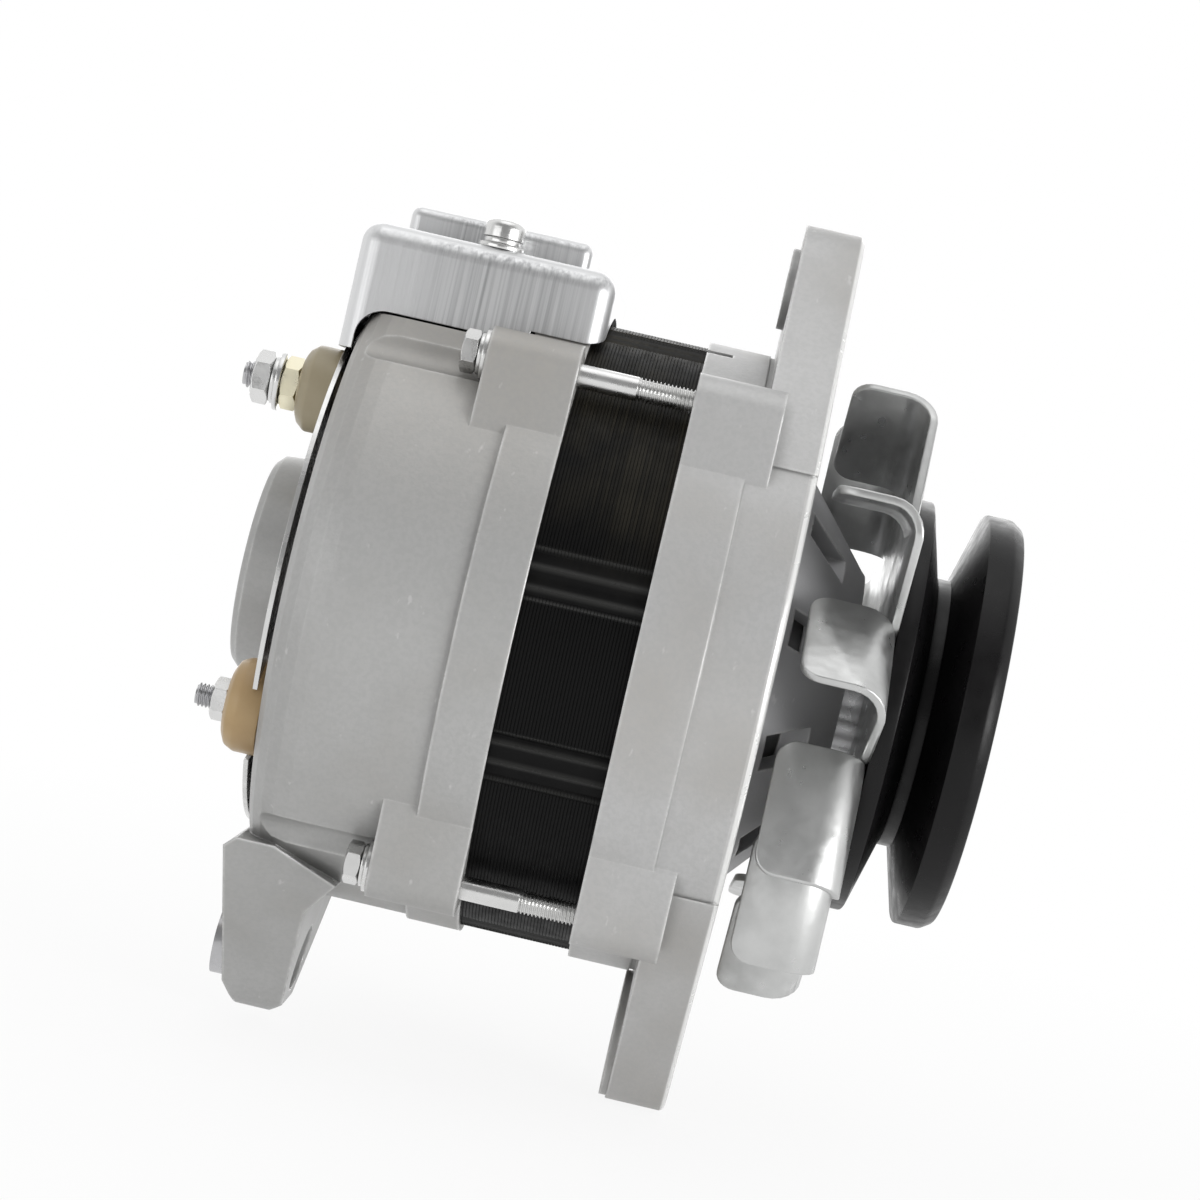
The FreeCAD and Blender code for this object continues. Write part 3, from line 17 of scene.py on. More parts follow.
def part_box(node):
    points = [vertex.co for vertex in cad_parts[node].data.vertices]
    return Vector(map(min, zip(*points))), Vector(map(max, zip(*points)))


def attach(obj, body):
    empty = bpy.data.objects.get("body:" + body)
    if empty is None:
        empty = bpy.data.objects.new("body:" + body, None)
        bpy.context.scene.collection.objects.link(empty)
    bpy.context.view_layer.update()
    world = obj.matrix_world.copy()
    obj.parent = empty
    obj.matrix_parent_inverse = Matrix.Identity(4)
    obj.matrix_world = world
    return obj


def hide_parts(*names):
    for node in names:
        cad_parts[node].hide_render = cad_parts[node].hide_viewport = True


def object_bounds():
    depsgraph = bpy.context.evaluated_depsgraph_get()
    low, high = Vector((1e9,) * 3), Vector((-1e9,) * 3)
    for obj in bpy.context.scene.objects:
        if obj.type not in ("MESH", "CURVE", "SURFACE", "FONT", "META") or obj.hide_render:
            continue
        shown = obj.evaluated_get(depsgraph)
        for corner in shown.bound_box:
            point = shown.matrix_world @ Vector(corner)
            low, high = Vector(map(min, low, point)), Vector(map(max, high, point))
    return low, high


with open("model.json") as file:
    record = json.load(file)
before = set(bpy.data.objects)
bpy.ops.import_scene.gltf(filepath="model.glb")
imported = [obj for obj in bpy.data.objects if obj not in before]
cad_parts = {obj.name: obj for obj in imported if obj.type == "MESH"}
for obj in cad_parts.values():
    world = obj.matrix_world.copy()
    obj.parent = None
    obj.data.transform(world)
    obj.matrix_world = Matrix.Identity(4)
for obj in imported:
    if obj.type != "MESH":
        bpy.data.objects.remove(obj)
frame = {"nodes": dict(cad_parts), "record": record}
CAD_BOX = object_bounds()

log = logging.getLogger("alternator")

MM = 0.001
Colour = tuple[float, float, float]
Corner = tuple[float, float]
Socket = bpy.types.NodeSocket
Source = Socket | float | Sequence[float]
TURN = 2 * math.pi
AXIS = Vector((1, 0, 0))
SHAFT = Vector((0, 0, 0))
OVERLAP = 0.5 * MM       # how far a thread reaches into the head or shaft that it grows from


class Body(Enum):
    """The bodies that the scene's own pieces ride on."""

    HOUSING = "housing"
    ROTOR = "rotor"


@dataclass(frozen=True)
class Room:
    """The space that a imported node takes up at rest.

    Args:
        low: The corner with the lowest coordinates.
        high: The corner with the highest coordinates.
    """

    low: Vector
    high: Vector

    @classmethod
    def of(cls, node: str) -> "Room":
        """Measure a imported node."""
        return cls(*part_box(node))

    @property
    def centre(self) -> Vector:
        """The middle of the space."""
        return (self.low + self.high) / 2

    @property
    def radius(self) -> float:
        """Half of the height, which is the radius of a piece round the X axis."""
        return (self.high.z - self.low.z) / 2

    @property
    def radius_across(self) -> float:
        """Half of the length, which is the radius of a piece round an upright axis."""
        return (self.high.x - self.low.x) / 2


# Materials


class Graph:
    """The node tree of a material or of the world, around its shader."""

    def __init__(self, owner: bpy.types.Material | bpy.types.World) -> None:
        """Start the tree.

        Args:
            owner: The material or the world.
        """
        owner.use_nodes = True
        self.tree = owner.node_tree
        self.shader = next(node for node in self.tree.nodes
                           if node.type in ("BSDF_PRINCIPLED", "BACKGROUND"))
        self.coordinates = self.tree.nodes.new("ShaderNodeTexCoord").outputs
        self.place = self.coordinates["Object"]

    def put(self, target: Socket, source: Source) -> None:
        """Link a socket to another one, or set it to a plain value.

        Args:
            target: The socket that is fed.
            source: What feeds it.
        """
        if isinstance(source, Socket):
            self.tree.links.new(source, target)
        else:
            target.default_value = source

    def add(self, kind: str, *inputs: tuple[str | int, Source],
            **settings: object) -> bpy.types.Node:
        """Add one node.

        Args:
            kind: The node's type without its ShaderNode prefix.
            inputs: Pairs of a socket's name or number and its source or value.
            settings: Attributes to set on the node first.

        Returns:
            The new node.
        """
        node = self.tree.nodes.new(f"ShaderNode{kind}")
        for name, setting in settings.items():
            setattr(node, name, setting)
        for name, source in inputs:
            self.put(node.inputs[name], source)
        return node

    def noise(self, scale: float, detail: float = 4.0, stretch: Sequence[float] = (1, 1, 1),
              rough: float = 0.55) -> Socket:
        """Noise on Object coordinates, from 0 to 1.

        Args:
            scale: Features per metre.
            detail: Octaves.
            stretch: How much the pattern is packed along each axis.
            rough: How strong the finer octaves are.

        Returns:
            The noise's factor.
        """
        mapping = self.add("Mapping", ("Vector", self.place), ("Scale", stretch))
        return self.add("TexNoise", ("Vector", mapping.outputs[0]), ("Scale", scale),
                        ("Detail", detail), ("Roughness", rough)).outputs["Fac"]

    def ramp(self, factor: Socket, low: float, high: float, start: Source = 0.0,
             stop: Source = 1.0) -> Socket:
        """Map a range onto another one, with its ends held."""
        return self.add("MapRange", (0, factor), (1, low), (2, high), (3, start),
                        (4, stop)).outputs[0]

    def calc(self, operation: str, first: Source, second: Source = 0.0) -> Socket:
        """Work out one sum of two sources."""
        return self.add("Math", (0, first), (1, second), operation=operation).outputs[0]

    def times(self, first: Source, *others: Source) -> Socket:
        """Multiply two or more sources.

        Args:
            first: The first source.
            others: The rest.

        Returns:
            Their product.
        """
        for other in others:
            first = self.calc("MULTIPLY", first, other)
        return first

    def blend(self, factor: Source, first: Source, second: Source) -> Socket:
        """Mix two colours.

        Args:
            factor: How much of the second colour shows.
            first: The colour at factor 0.
            second: The colour at factor 1.

        Returns:
            The mixed colour.
        """
        node = self.add("Mix", data_type="RGBA")
        for socket, source in ((0, factor), (6, first), (7, second)):
            if isinstance(source, tuple) and len(source) == 3:
                source = (*source, 1.0)
            self.put(node.inputs[socket], source)
        return node.outputs[2]

    def bump(self, height: Socket, depth: float, strength: float = 1.0,
             normal: Socket | None = None) -> Socket:
        """Raise the surface by a height map.

        Args:
            height: The map, from 0 to 1.
            depth: The height that 1 stands for, in metres.
            strength: How much of it is used.
            normal: The normal under it, if that isn't the plain one.

        Returns:
            The new normal.
        """
        node = self.add("Bump", ("Height", height), ("Distance", depth), ("Strength", strength))
        if normal is not None:
            self.put(node.inputs["Normal"], normal)
        return node.outputs[0]

    def parts(self) -> tuple[Socket, Socket, Socket]:
        """The X, Y and Z of Object coordinates."""
        return tuple(self.add("SeparateXYZ", ("Vector", self.place)).outputs)

    def facing(self, axis: str) -> Socket:
        """How far the surface faces along one axis of the object, from -1 to 1."""
        return self.add("SeparateXYZ", ("Vector", self.coordinates["Normal"])).outputs[axis]

    def off_axis(self) -> Socket:
        """Find the distance from the shaft's axis.

        Returns:
            The distance, in metres.
        """
        _, across, up = self.parts()
        flat = self.add("CombineXYZ", (1, across), (2, up))
        return self.add("VectorMath", (0, flat.outputs[0]), operation="LENGTH").outputs["Value"]

    def surface(self, colour: Source, roughness: Source, normal: Source) -> None:
        """Give the shader its colour, roughness and normal.

        Args:
            colour: The base colour.
            roughness: The roughness.
            normal: The normal.
        """
        for name, source in (("Base Color", colour), ("Roughness", roughness),
                             ("Normal", normal)):
            self.put(self.shader.inputs[name], source)


@dataclass(frozen=True)
class Finish:
    """A surface finish and the record's slot that it belongs to.

    Args:
        name: The material's name.
        slot: The record's material slot.
        colour: The main colour, linear.
        shade: The colour of the darker patches.
        roughness: The middle of the roughness range.
        metallic: The shader's metallic value.
        edge: Radius that the shader softens edges by, in metres.
        gloss: The shader's specular level, which matters on what isn't metal.
        waves: Depth of the slow waves that pressing left in a sheet, in metres.
    """

    name: str
    slot: str
    colour: Colour
    shade: Colour
    roughness: float = 0.4
    metallic: float = 1.0
    edge: float = 0.0
    gloss: float = 0.5
    waves: float = 0.0
    made: ClassVar[dict[str, bpy.types.Material]] = {}

    def material(self) -> bpy.types.Material:
        """Build the material once and hand it out again after that.

        Returns:
            The material.
        """
        if self.name not in Finish.made:
            Finish.made[self.name] = bpy.data.materials.new(self.name)
            graph = Graph(Finish.made[self.name])
            graph.shader.inputs["Metallic"].default_value = self.metallic
            graph.shader.inputs["Specular IOR Level"].default_value = self.gloss
            self.paint(graph)
        return Finish.made[self.name]

    def soft_edges(self, graph: Graph) -> Socket | None:
        """Round the normal at the edges.

        Args:
            graph: The material's tree.

        Returns:
            The rounded normal, or nothing where edges stay sharp.
        """
        if not self.edge:
            return None
        return graph.add("Bevel", ("Radius", self.edge), samples=6).outputs[0]

    def paint(self, graph: Graph) -> None:
        """Patchy colour, uneven gloss and a faint grain.

        Args:
            graph: The material's tree.
        """
        patches = graph.ramp(graph.noise(60, 5), 0.35, 0.7)
        normal = self.soft_edges(graph)
        if self.waves:
            normal = graph.bump(graph.noise(110, 2), self.waves, 1.0, normal)
        graph.surface(graph.blend(patches, self.colour, self.shade),
                      graph.ramp(graph.noise(240, 6), 0.3, 0.7, self.roughness - 0.08,
                                 self.roughness + 0.1),
                      graph.bump(graph.noise(1500, 3), 0.03 * MM, 0.6, normal))

    def dress(self, piece: bpy.types.Object) -> None:
        """Give a piece this finish only."""
        piece.data.materials.clear()
        piece.data.materials.append(self.material())


@dataclass(frozen=True)
class Casting(Finish):
    """Blasted aluminium with a fine grain, flow patches and nicks, its corners rubbed and given
    a painted highlight, and painted shade in the hollows and on the cone behind the fan.

    Args:
        grain: Depth of the blasted grain.
        warm: The warm tint that comes in towards the top and the rear, and in broad patches.
        polish_highlight: The colour of nicks, of rubbed corners and of the painted highlights.
        hollow_shade: The colour of the painted shade in the hollows.
        polish_highlight_reach: How far a corner's rubbing and painted highlight reach.
        hollow: How near something has to stand to make a hollow.
        rim: The radii between which the front rim's rounding gets a painted highlight.
        warm_heights: The heights between which the warm tint comes in.
        warm_along: The x between which it comes in, towards the rear.
        cone: The painted shade on the cone behind the fan, a little darker than the front bracket.
        cone_start: The x between which the cone's colour comes in.
        cone_radius: The radii between which it comes in, from the outside.
    """

    grain: float = 0.08 * MM
    warm: Colour = (0.375, 0.355, 0.325)
    polish_highlight: Colour = (0.72, 0.72, 0.71)
    hollow_shade: Colour = (0.12, 0.12, 0.115)
    polish_highlight_reach: float = 1.1 * MM
    hollow: float = 3 * MM
    rim: Corner = (58 * MM, 60 * MM)
    warm_heights: Corner = (15 * MM, 62 * MM)
    warm_along: Corner = (-70 * MM, -95 * MM)
    cone: Colour = (0.42, 0.42, 0.43)
    cone_start: Corner = (-33.9 * MM, -33.2 * MM)
    cone_radius: Corner = (47.5 * MM, 46.2 * MM)

    def corners_and_hollows(self, graph: Graph) -> tuple[Socket, Socket]:
        """Find the rubbed corners and the front rim, which get a painted highlight, and the
        hollows.

        Args:
            graph: The material's tree.

        Returns:
            The rubbing and painted highlight, and how open the surface lies, both from 0 to 1.
        """
        rounded = graph.add("Bevel", ("Radius", self.polish_highlight_reach), samples=5).outputs[0]
        plain = graph.add("NewGeometry").outputs["Normal"]
        turn = graph.add("VectorMath", (0, rounded), (1, plain),
                         operation="DOT_PRODUCT").outputs["Value"]
        # Ambient occlusion finds the hollows, which get painted shade.
        dips = graph.add("AmbientOcclusion", ("Distance", self.hollow), samples=4, only_local=True)
        is_open = graph.ramp(dips.outputs["AO"], 0.55, 0.95)
        # Outer corners: partly rubbed by handling, partly a painted highlight.
        corner = graph.times(graph.ramp(turn, 0.995, 0.86), is_open,
                             graph.ramp(graph.noise(180, 4), 0.25, 0.6))
        # The front rim's rounding, facing +X, gets a painted highlight.
        ahead = graph.facing("X")
        rim_highlight = graph.times(graph.ramp(ahead, 0.1, 0.4), graph.ramp(ahead, 0.99, 0.9),
                                   graph.ramp(graph.off_axis(), *self.rim))
        return graph.calc("MAXIMUM", corner, rim_highlight), is_open

    def paint(self, graph: Graph) -> None:
        """Mottle the grey, pit it as blasting does, rub the corners and paint highlights and shade.

        Args:
            graph: The material's tree.
        """
        patches = graph.ramp(graph.noise(22, 6, rough=0.62), 0.36, 0.66)
        polish_highlight_mask, is_open = self.corners_and_hollows(graph)
        base = graph.blend(patches, self.colour, self.shade)
        along, _, up = graph.parts()
        # Warmer towards the top and the rear of the casting.
        warm_zone = graph.times(graph.ramp(up, *self.warm_heights), graph.ramp(along, *self.warm_along))
        tint = graph.calc("MAXIMUM", warm_zone, graph.ramp(graph.noise(11, 3), 0.48, 0.68))
        base = graph.blend(graph.times(tint, 0.7), base, self.warm)
        speck = graph.times(graph.ramp(graph.noise(900, 4), 0.42, 0.6), 0.3)
        base = graph.blend(speck, base, tuple(c * 0.8 for c in self.colour))
        # Painted shade of the fan on the cone behind it.
        cone = graph.times(graph.ramp(along, *self.cone_start),
                           graph.ramp(graph.off_axis(), *self.cone_radius))
        base = graph.blend(cone, base, self.cone)
        nicks = graph.ramp(graph.noise(420, 3, stretch=(1, 0.5, 0.5)), 0.69, 0.75, 0.0, 0.3)
        base = graph.blend(nicks, base, self.polish_highlight)
        # Painted shade in the hollows.
        base = graph.blend(graph.ramp(is_open, 0, 1, 0.35, 0.0), base, self.hollow_shade)
        dull = graph.ramp(patches, 0, 1, self.roughness - 0.06, self.roughness + 0.08)
        height = graph.calc("ADD", graph.noise(1400, 5), graph.times(graph.noise(160, 4), 1.5))
        # Rubbed corners and the front rim take the colour of the painted highlight.
        graph.surface(graph.blend(polish_highlight_mask, base, self.polish_highlight),
                      graph.calc("SUBTRACT", dull, graph.times(polish_highlight_mask, 0.2)),
                      graph.bump(height, self.grain, 0.7, self.soft_edges(graph)))


@dataclass(frozen=True)
class Brushed(Finish):
    """Bright sheet that was brushed up and down, with streaks along Z.

    Args:
        calm: Along the shaft, where the streaks are still faint and where they are full.
    """

    calm: Corner = (-125 * MM, -117 * MM)

    def paint(self, graph: Graph) -> None:
        """Draw fine and broad streaks in colour, gloss and height.

        Args:
            graph: The material's tree.
        """
        on_top = graph.ramp(graph.calc("ABSOLUTE", graph.facing("Z")), 0.6, 0.8)
        on_end = graph.calc("ABSOLUTE", graph.facing("X"))
        upright = graph.noise(1500, 4, stretch=(1, 1, 0.012))
        across = graph.noise(1500, 4, stretch=(0.012, 1, 1))
        fine = graph.calc("ADD", graph.times(across, on_top),
                          graph.times(upright, graph.calc("SUBTRACT", 1.0, on_top)))
        broad = graph.noise(38, 3, stretch=(1, 1, 0.05))
        along, _, _ = graph.parts()
        streak = graph.times(graph.ramp(fine, 0.35, 0.7), graph.ramp(broad, 0.35, 0.62, 0.25, 1.0),
                             graph.ramp(along, *self.calm, 0.2, 1.0),
                             graph.ramp(on_top, 0, 1, 1.0, 0.35),
                             graph.ramp(on_end, 0.5, 0.9, 1.0, 0.2))
        graph.surface(graph.blend(streak, self.colour, self.shade),
                      graph.ramp(fine, 0.3, 0.7, self.roughness - 0.06, self.roughness + 0.12),
                      graph.bump(fine, 0.02 * MM, 0.5, self.soft_edges(graph)))


@dataclass(frozen=True)
class Laminated(Finish):
    """Black varnish on a stack of sheets, with brownish patches and a painted sheen towards the
    top.

    Args:
        pitch: Thickness of one sheet.
        outside: The stack's radius.
        sheen_heights: The heights between which the painted sheen on the brownish patches comes in.
        bead_highlight: The colour of the weld beads, a painted highlight on the black varnish.
        bead_floor: The depths under the rim between which it comes in.
        bead_top: The depths under the rim between which it comes in from the other side.
    """

    pitch: float = 0.7 * MM
    outside: float = 67.8 * MM
    sheen_heights: Corner = (6 * MM, 60 * MM)
    bead_highlight: Colour = (0.024, 0.024, 0.023)
    bead_floor: Corner = (0.8 * MM, 0.4 * MM)
    bead_top: Corner = (0.2 * MM, 0.26 * MM)

    def paint(self, graph: Graph) -> None:
        """Vary each lamination, paint a sheen on patches at the top and highlights on weld beads.

        Args:
            graph: The material's tree.
        """
        along, _, up = graph.parts()
        sheet = graph.calc("FLOOR", graph.calc("DIVIDE", along, self.pitch))
        tone = graph.add("TexWhiteNoise", ("W", sheet), noise_dimensions="1D").outputs["Value"]
        # Brownish patches, brought out by a painted sheen towards the top.
        bare_and_sheen = graph.times(graph.ramp(graph.noise(26, 5), 0.45, 0.72),
                           graph.ramp(up, *self.sheen_heights), graph.ramp(tone, 0.0, 1.0, 0.4, 1.0))
        off = graph.off_axis()
        # Painted highlight on the weld beads.
        bead_highlight = graph.times(*(graph.ramp(off, self.outside - start, self.outside - full)
                             for start, full in (self.bead_floor, self.bead_top)))
        dull = graph.ramp(graph.noise(300, 4), 0.3, 0.7, self.roughness - 0.08,
                          self.roughness + 0.1)
        scratches = graph.noise(420, 4, stretch=(0.25, 1, 1))
        graph.surface(graph.blend(bead_highlight, graph.blend(bare_and_sheen, self.colour, self.shade), self.bead_highlight),
                      graph.calc("SUBTRACT", dull, graph.times(bead_highlight, 0.2)),
                      graph.bump(scratches, 0.03 * MM, 0.5))


# Finishes of this alternator

CAST = Casting("cast_aluminium", "cast_aluminium", (0.43, 0.43, 0.425), (0.38, 0.378, 0.37), 0.45,
               0.35, edge=0.6 * MM, gloss=0.4)
# A lighter copy of the casting for the front bracket: painted light for the stronger light on the
# front.
LIT_FRONT_CAST = replace(CAST, name="lit_front_cast_aluminium", colour=(0.49, 0.49, 0.488),
                     shade=(0.435, 0.433, 0.428))
ZINC = Finish("zinc", "zinc_plate", (0.74, 0.74, 0.735), (0.66, 0.66, 0.65), 0.26, edge=0.15 * MM)
PRESSED = Finish("pressed_zinc", "zinc_plate", (0.60, 0.605, 0.60), (0.46, 0.465, 0.46), 0.34, 0.9,
                 waves=0.3 * MM)
SHEET = Brushed("brushed_sheet", "zinc_plate", (0.72, 0.725, 0.73), (0.34, 0.343, 0.35), 0.36, 0.85,
                edge=0.3 * MM)
STEEL = Finish("steel", "steel", (0.56, 0.56, 0.57), (0.42, 0.42, 0.43), 0.3)
CORE = Laminated("laminations", "core_black", (0.003, 0.003, 0.003), (0.052, 0.045, 0.030), 0.46,
                 0.0, gloss=0.12)
PAINT = Finish("pulley_paint", "pulley_black", (0.003, 0.003, 0.0032), (0.006, 0.0055, 0.006), 0.32,
               0.0, gloss=0.22)
COPPER = Finish("copper", "copper_wire", (0.50, 0.16, 0.05), (0.32, 0.10, 0.03), 0.3)
NYLON = Finish("nylon", "insulator", (0.36, 0.31, 0.21), (0.30, 0.25, 0.16), 0.35, 0.0)
TAN = Finish("tan_nylon", "insulator", (0.46, 0.32, 0.16), (0.38, 0.25, 0.12), 0.35, 0.0)
PLASTIC = Finish("black_plastic", "dark_plastic", (0.015, 0.015, 0.016), (0.03, 0.03, 0.03), 0.5,
                 0.0)
BRASS = Finish("brass", "brass", (0.93, 0.88, 0.68), (0.90, 0.84, 0.62), 0.3)
CARBON = Finish("carbon", "carbon", (0.02, 0.02, 0.021), (0.05, 0.05, 0.05), 0.6, 0.2)
FINISHES = {finish.slot: finish for finish in (CAST, ZINC, STEEL, CORE, PAINT, COPPER, NYLON,
                                               PLASTIC, BRASS, CARBON)}


# Shapes


def moved(bm: BMesh, at: Vector, quarter_turns: int = 0, about: str = "Z") -> BMesh:
    """Turn a mesh about an axis through the origin and carry it to its place.

    Args:
        bm: The mesh.
        at: How far it is carried.
        quarter_turns: How far it is turned first.
        about: The axis of the turn.

    Returns:
        The same mesh.
    """
    if quarter_turns:
        bmesh.ops.rotate(bm, verts=bm.verts, cent=(0, 0, 0),
                         matrix=Matrix.Rotation(TURN / 4 * quarter_turns, 3, about))
    bmesh.ops.translate(bm, verts=bm.verts, vec=at)
    return bm


def lathe(outline: Sequence[Corner], at: Vector = SHAFT, steps: int = 96,
          ease: float = 0.0) -> BMesh:
    """Spin a closed outline of (x, radius) corners about an axis along X.

    Args:
        outline: The corners; an outline that starts and ends on the axis is left open there.
        at: A point that the axis passes through.
        steps: Faces round the axis.
        ease: Width that sharp edges are rounded by.

    Returns:
        The turned solid.
    """
    bm = bmesh.new()
    corners = [bm.verts.new((x, 0, radius)) for x, radius in outline]
    edges = [bm.edges.new(pair) for pair in zip(corners, corners[1:])]
    if outline[0][1] or outline[-1][1]:
        edges.append(bm.edges.new((corners[-1], corners[0])))
    bmesh.ops.spin(bm, geom=corners + edges, cent=(0, 0, 0), axis=AXIS, angle=TURN, steps=steps,
                   use_merge=True)
    bmesh.ops.remove_doubles(bm, verts=bm.verts, dist=1e-7)
    bmesh.ops.recalc_face_normals(bm, faces=bm.faces)
    if ease:
        soften(bm, ease)
    return moved(bm, Vector((0, at.y, at.z)))


def soften(bm: BMesh, width: float, sharp: float = 25.0) -> None:
    """Round every edge that is sharper than an angle.

    Args:
        bm: The mesh.
        width: How far the rounding reaches from the edge.
        sharp: The angle in degrees.
    """
    edges = [e for e in bm.edges if len(e.link_faces) == 2
             and math.degrees(e.calc_face_angle()) > sharp]
    bmesh.ops.bevel(bm, geom=edges, offset=width, segments=2, profile=0.5,
                    affect="EDGES", clamp_overlap=True, material=-1)


def hex_radius(flats: float, around: float) -> float:
    """The distance from a hexagon's middle to its side, at an angle from a corner."""
    return flats / 2 / math.cos(around % (TURN / 6) - TURN / 12)


def hexagon(rear: float, front: float, flats: float, bore: float, at: Vector = SHAFT) -> BMesh:
    """A nut or bolt head with its corners turned down at both faces.

    Args:
        rear: Its lower x.
        front: Its higher x.
        flats: The distance across its flats.
        bore: The radius of its hole.
        at: A point on its axis.

    Returns:
        The hexagonal solid, its corners up and down.
    """
    crown, chamfer = 0.94, math.radians(30)
    face, corner = crown * flats / 2, hex_radius(flats, 0)
    bm = lathe([(rear, bore), (rear, face), (rear, corner), (front, corner), (front, face),
                (front, bore)], steps=72)
    middle = (rear + front) / 2
    for vert in bm.verts:
        reach = math.hypot(vert.co.y, vert.co.z)
        if reach > face * 1.01:
            side = hex_radius(flats, math.atan2(vert.co.y, vert.co.z))
            drop = (side - face) * math.tan(chamfer)
            vert.co.x += drop if vert.co.x < middle else -drop
            vert.co.yz = vert.co.yz * (side / reach)
    return moved(bm, Vector((0, at.y, at.z)))


def thread(rear: float, front: float, radius: float, pitch: float, at: Vector = SHAFT,
           steps: int = 36) -> BMesh:
    """A rod with a rolled thread, its ends cut square and eased.

    Args:
        rear: Its lower x.
        front: Its higher x.
        radius: The thread's outer radius.
        pitch: The advance of one turn.
        at: A point on its axis.
        steps: Faces round the axis.

    Returns:
        The threaded solid.
    """
    root = radius - 0.55 * pitch
    ridge = ((0, root), (0.15, root), (0.5, radius), (0.62, radius))
    bm = bmesh.new()
    corners = [bm.verts.new((rear + turn * pitch + share * pitch, 0, reach))
               for turn in range(-2, math.ceil((front - rear) / pitch) + 2)
               for share, reach in ridge]
    edges = [bm.edges.new(pair) for pair in zip(corners, corners[1:])]
    bmesh.ops.spin(bm, geom=corners + edges, cent=(0, 0, 0), dvec=(pitch / steps, 0, 0), axis=AXIS,
                   angle=TURN, steps=steps)
    bmesh.ops.remove_doubles(bm, verts=bm.verts, dist=pitch * 0.01)
    for end, outward in ((front, 1), (rear, -1)):
        bmesh.ops.bisect_plane(bm, geom=bm.verts[:] + bm.edges[:] + bm.faces[:],
                               plane_co=(end, 0, 0), plane_no=(outward, 0, 0), clear_outer=True)
    bmesh.ops.holes_fill(bm, edges=[e for e in bm.edges if e.is_boundary], sides=0)
    for vert in bm.verts:
        reach = math.hypot(vert.co.y, vert.co.z)
        if min(abs(vert.co.x - rear), abs(vert.co.x - front)) < 0.3 * pitch and reach > root:
            vert.co.yz = vert.co.yz * (root / reach)
    bmesh.ops.recalc_face_normals(bm, faces=bm.faces)
    return moved(bm, Vector((0, at.y, at.z)))


def split_ring(rear: float, front: float, inner: float, outer: float,
               at: Vector = SHAFT) -> BMesh:
    """A spring washer whose two ends stand a little apart.

    Args:
        rear: Its lower x.
        front: Its higher x.
        inner: The radius of its hole.
        outer: Its outer radius.
        at: A point on its axis.

    Returns:
        The open ring.
    """
    steps, gap, start = 48, math.radians(14), math.radians(200)
    high = front - 0.12 * (front - rear)
    bm = bmesh.new()
    corners = [bm.verts.new((x, 0, r)) for x, r in ((rear, inner), (rear, outer), (high, outer),
                                                    (high, inner))]
    edges = [bm.edges.new((corners[i - 1], corners[i])) for i in range(4)]
    bm.faces.new(corners)
    made = bmesh.ops.spin(bm, geom=edges, cent=(0, 0, 0), dvec=((front - high) / steps, 0, 0),
                          axis=AXIS, angle=TURN - gap, steps=steps)
    last = [e for e in made["geom_last"] if isinstance(e, BMEdge)]
    bmesh.ops.contextual_create(bm, geom=last)
    bmesh.ops.recalc_face_normals(bm, faces=bm.faces)
    soften(bm, 0.12 * (outer - inner), sharp=50)
    bmesh.ops.rotate(bm, verts=bm.verts, cent=(0, 0, 0), matrix=Matrix.Rotation(start, 3, "X"))
    return moved(bm, Vector((0, at.y, at.z)))


def flat_ring(rear: float, front: float, inner: float, outer: float, at: Vector = SHAFT,
              ease: float = 0.12 * MM) -> BMesh:
    """A flat washer.

    Args:
        rear: Its lower x.
        front: Its higher x.
        inner: The radius of its hole.
        outer: Its outer radius.
        at: A point on its axis.
        ease: Width that its edges are rounded by.

    Returns:
        The closed ring.
    """
    return lathe([(rear, inner), (rear, outer), (front, outer), (front, inner)], at, 48, ease)


def cross_recess(bm: BMesh, width: float, reach: float, depth: float) -> None:
    """Sink a screwdriver's cross into the +X end of a head on the X axis.

    Args:
        bm: The head.
        width: The width of each arm.
        reach: How far each arm runs from the middle.
        depth: How deep the cross is.
    """
    for place in (-reach, -width / 2, width / 2, reach):
        for normal in ((0, 1, 0), (0, 0, 1)):
            top = [f for f in bm.faces if f.normal.x > 0.5]
            geom = set(top) | {e for f in top for e in f.edges} | {v for f in top for v in f.verts}
            bmesh.ops.bisect_plane(bm, geom=list(geom), plane_co=Vector(normal) * place,
                                   plane_no=normal)
    arms = []
    for face in bm.faces:
        middle = face.calc_center_median()
        near, far = sorted((abs(middle.y), abs(middle.z)))
        if face.normal.x > 0.5 and near < width / 2 and far < reach:
            arms.append(face)
    bmesh.ops.inset_region(bm, faces=arms, thickness=0.08 * width, depth=-depth,
                           use_even_offset=True)


def pan_head(seat: float, radius: float, height: float) -> BMesh:
    """A domed screw head that stands on x = seat and faces +X.

    Args:
        seat: The x of its underside.
        radius: Its radius.
        height: Its height.

    Returns:
        The head with its cross.
    """
    side, flat, bends = 0.55, 0.62, 5
    outline = [(seat, 0), (seat, radius)]
    for step in range(bends + 1):
        around = TURN / 4 * step / bends
        outline.append((seat + height * (side + (1 - side) * math.sin(around)),
                        radius * (flat + (1 - flat) * math.cos(around))))
    outline.append((seat + height, 0))
    bm = lathe(outline, steps=48)
    cross_recess(bm, 0.26 * radius, flat * radius, 0.5 * height)
    return bm


def grown(bm: BMesh, edges: list[BMEdge]) -> tuple[list[BMVert], list[BMEdge]]:
    """Extrude edges on the spot.

    Args:
        bm: The mesh.
        edges: The edges.

    Returns:
        The new corners and the new edges, which still have to be moved.
    """
    made = bmesh.ops.extrude_edge_only(bm, edges=edges)["geom"]
    return [v for v in made if isinstance(v, BMVert)], [e for e in made if isinstance(e, BMEdge)]


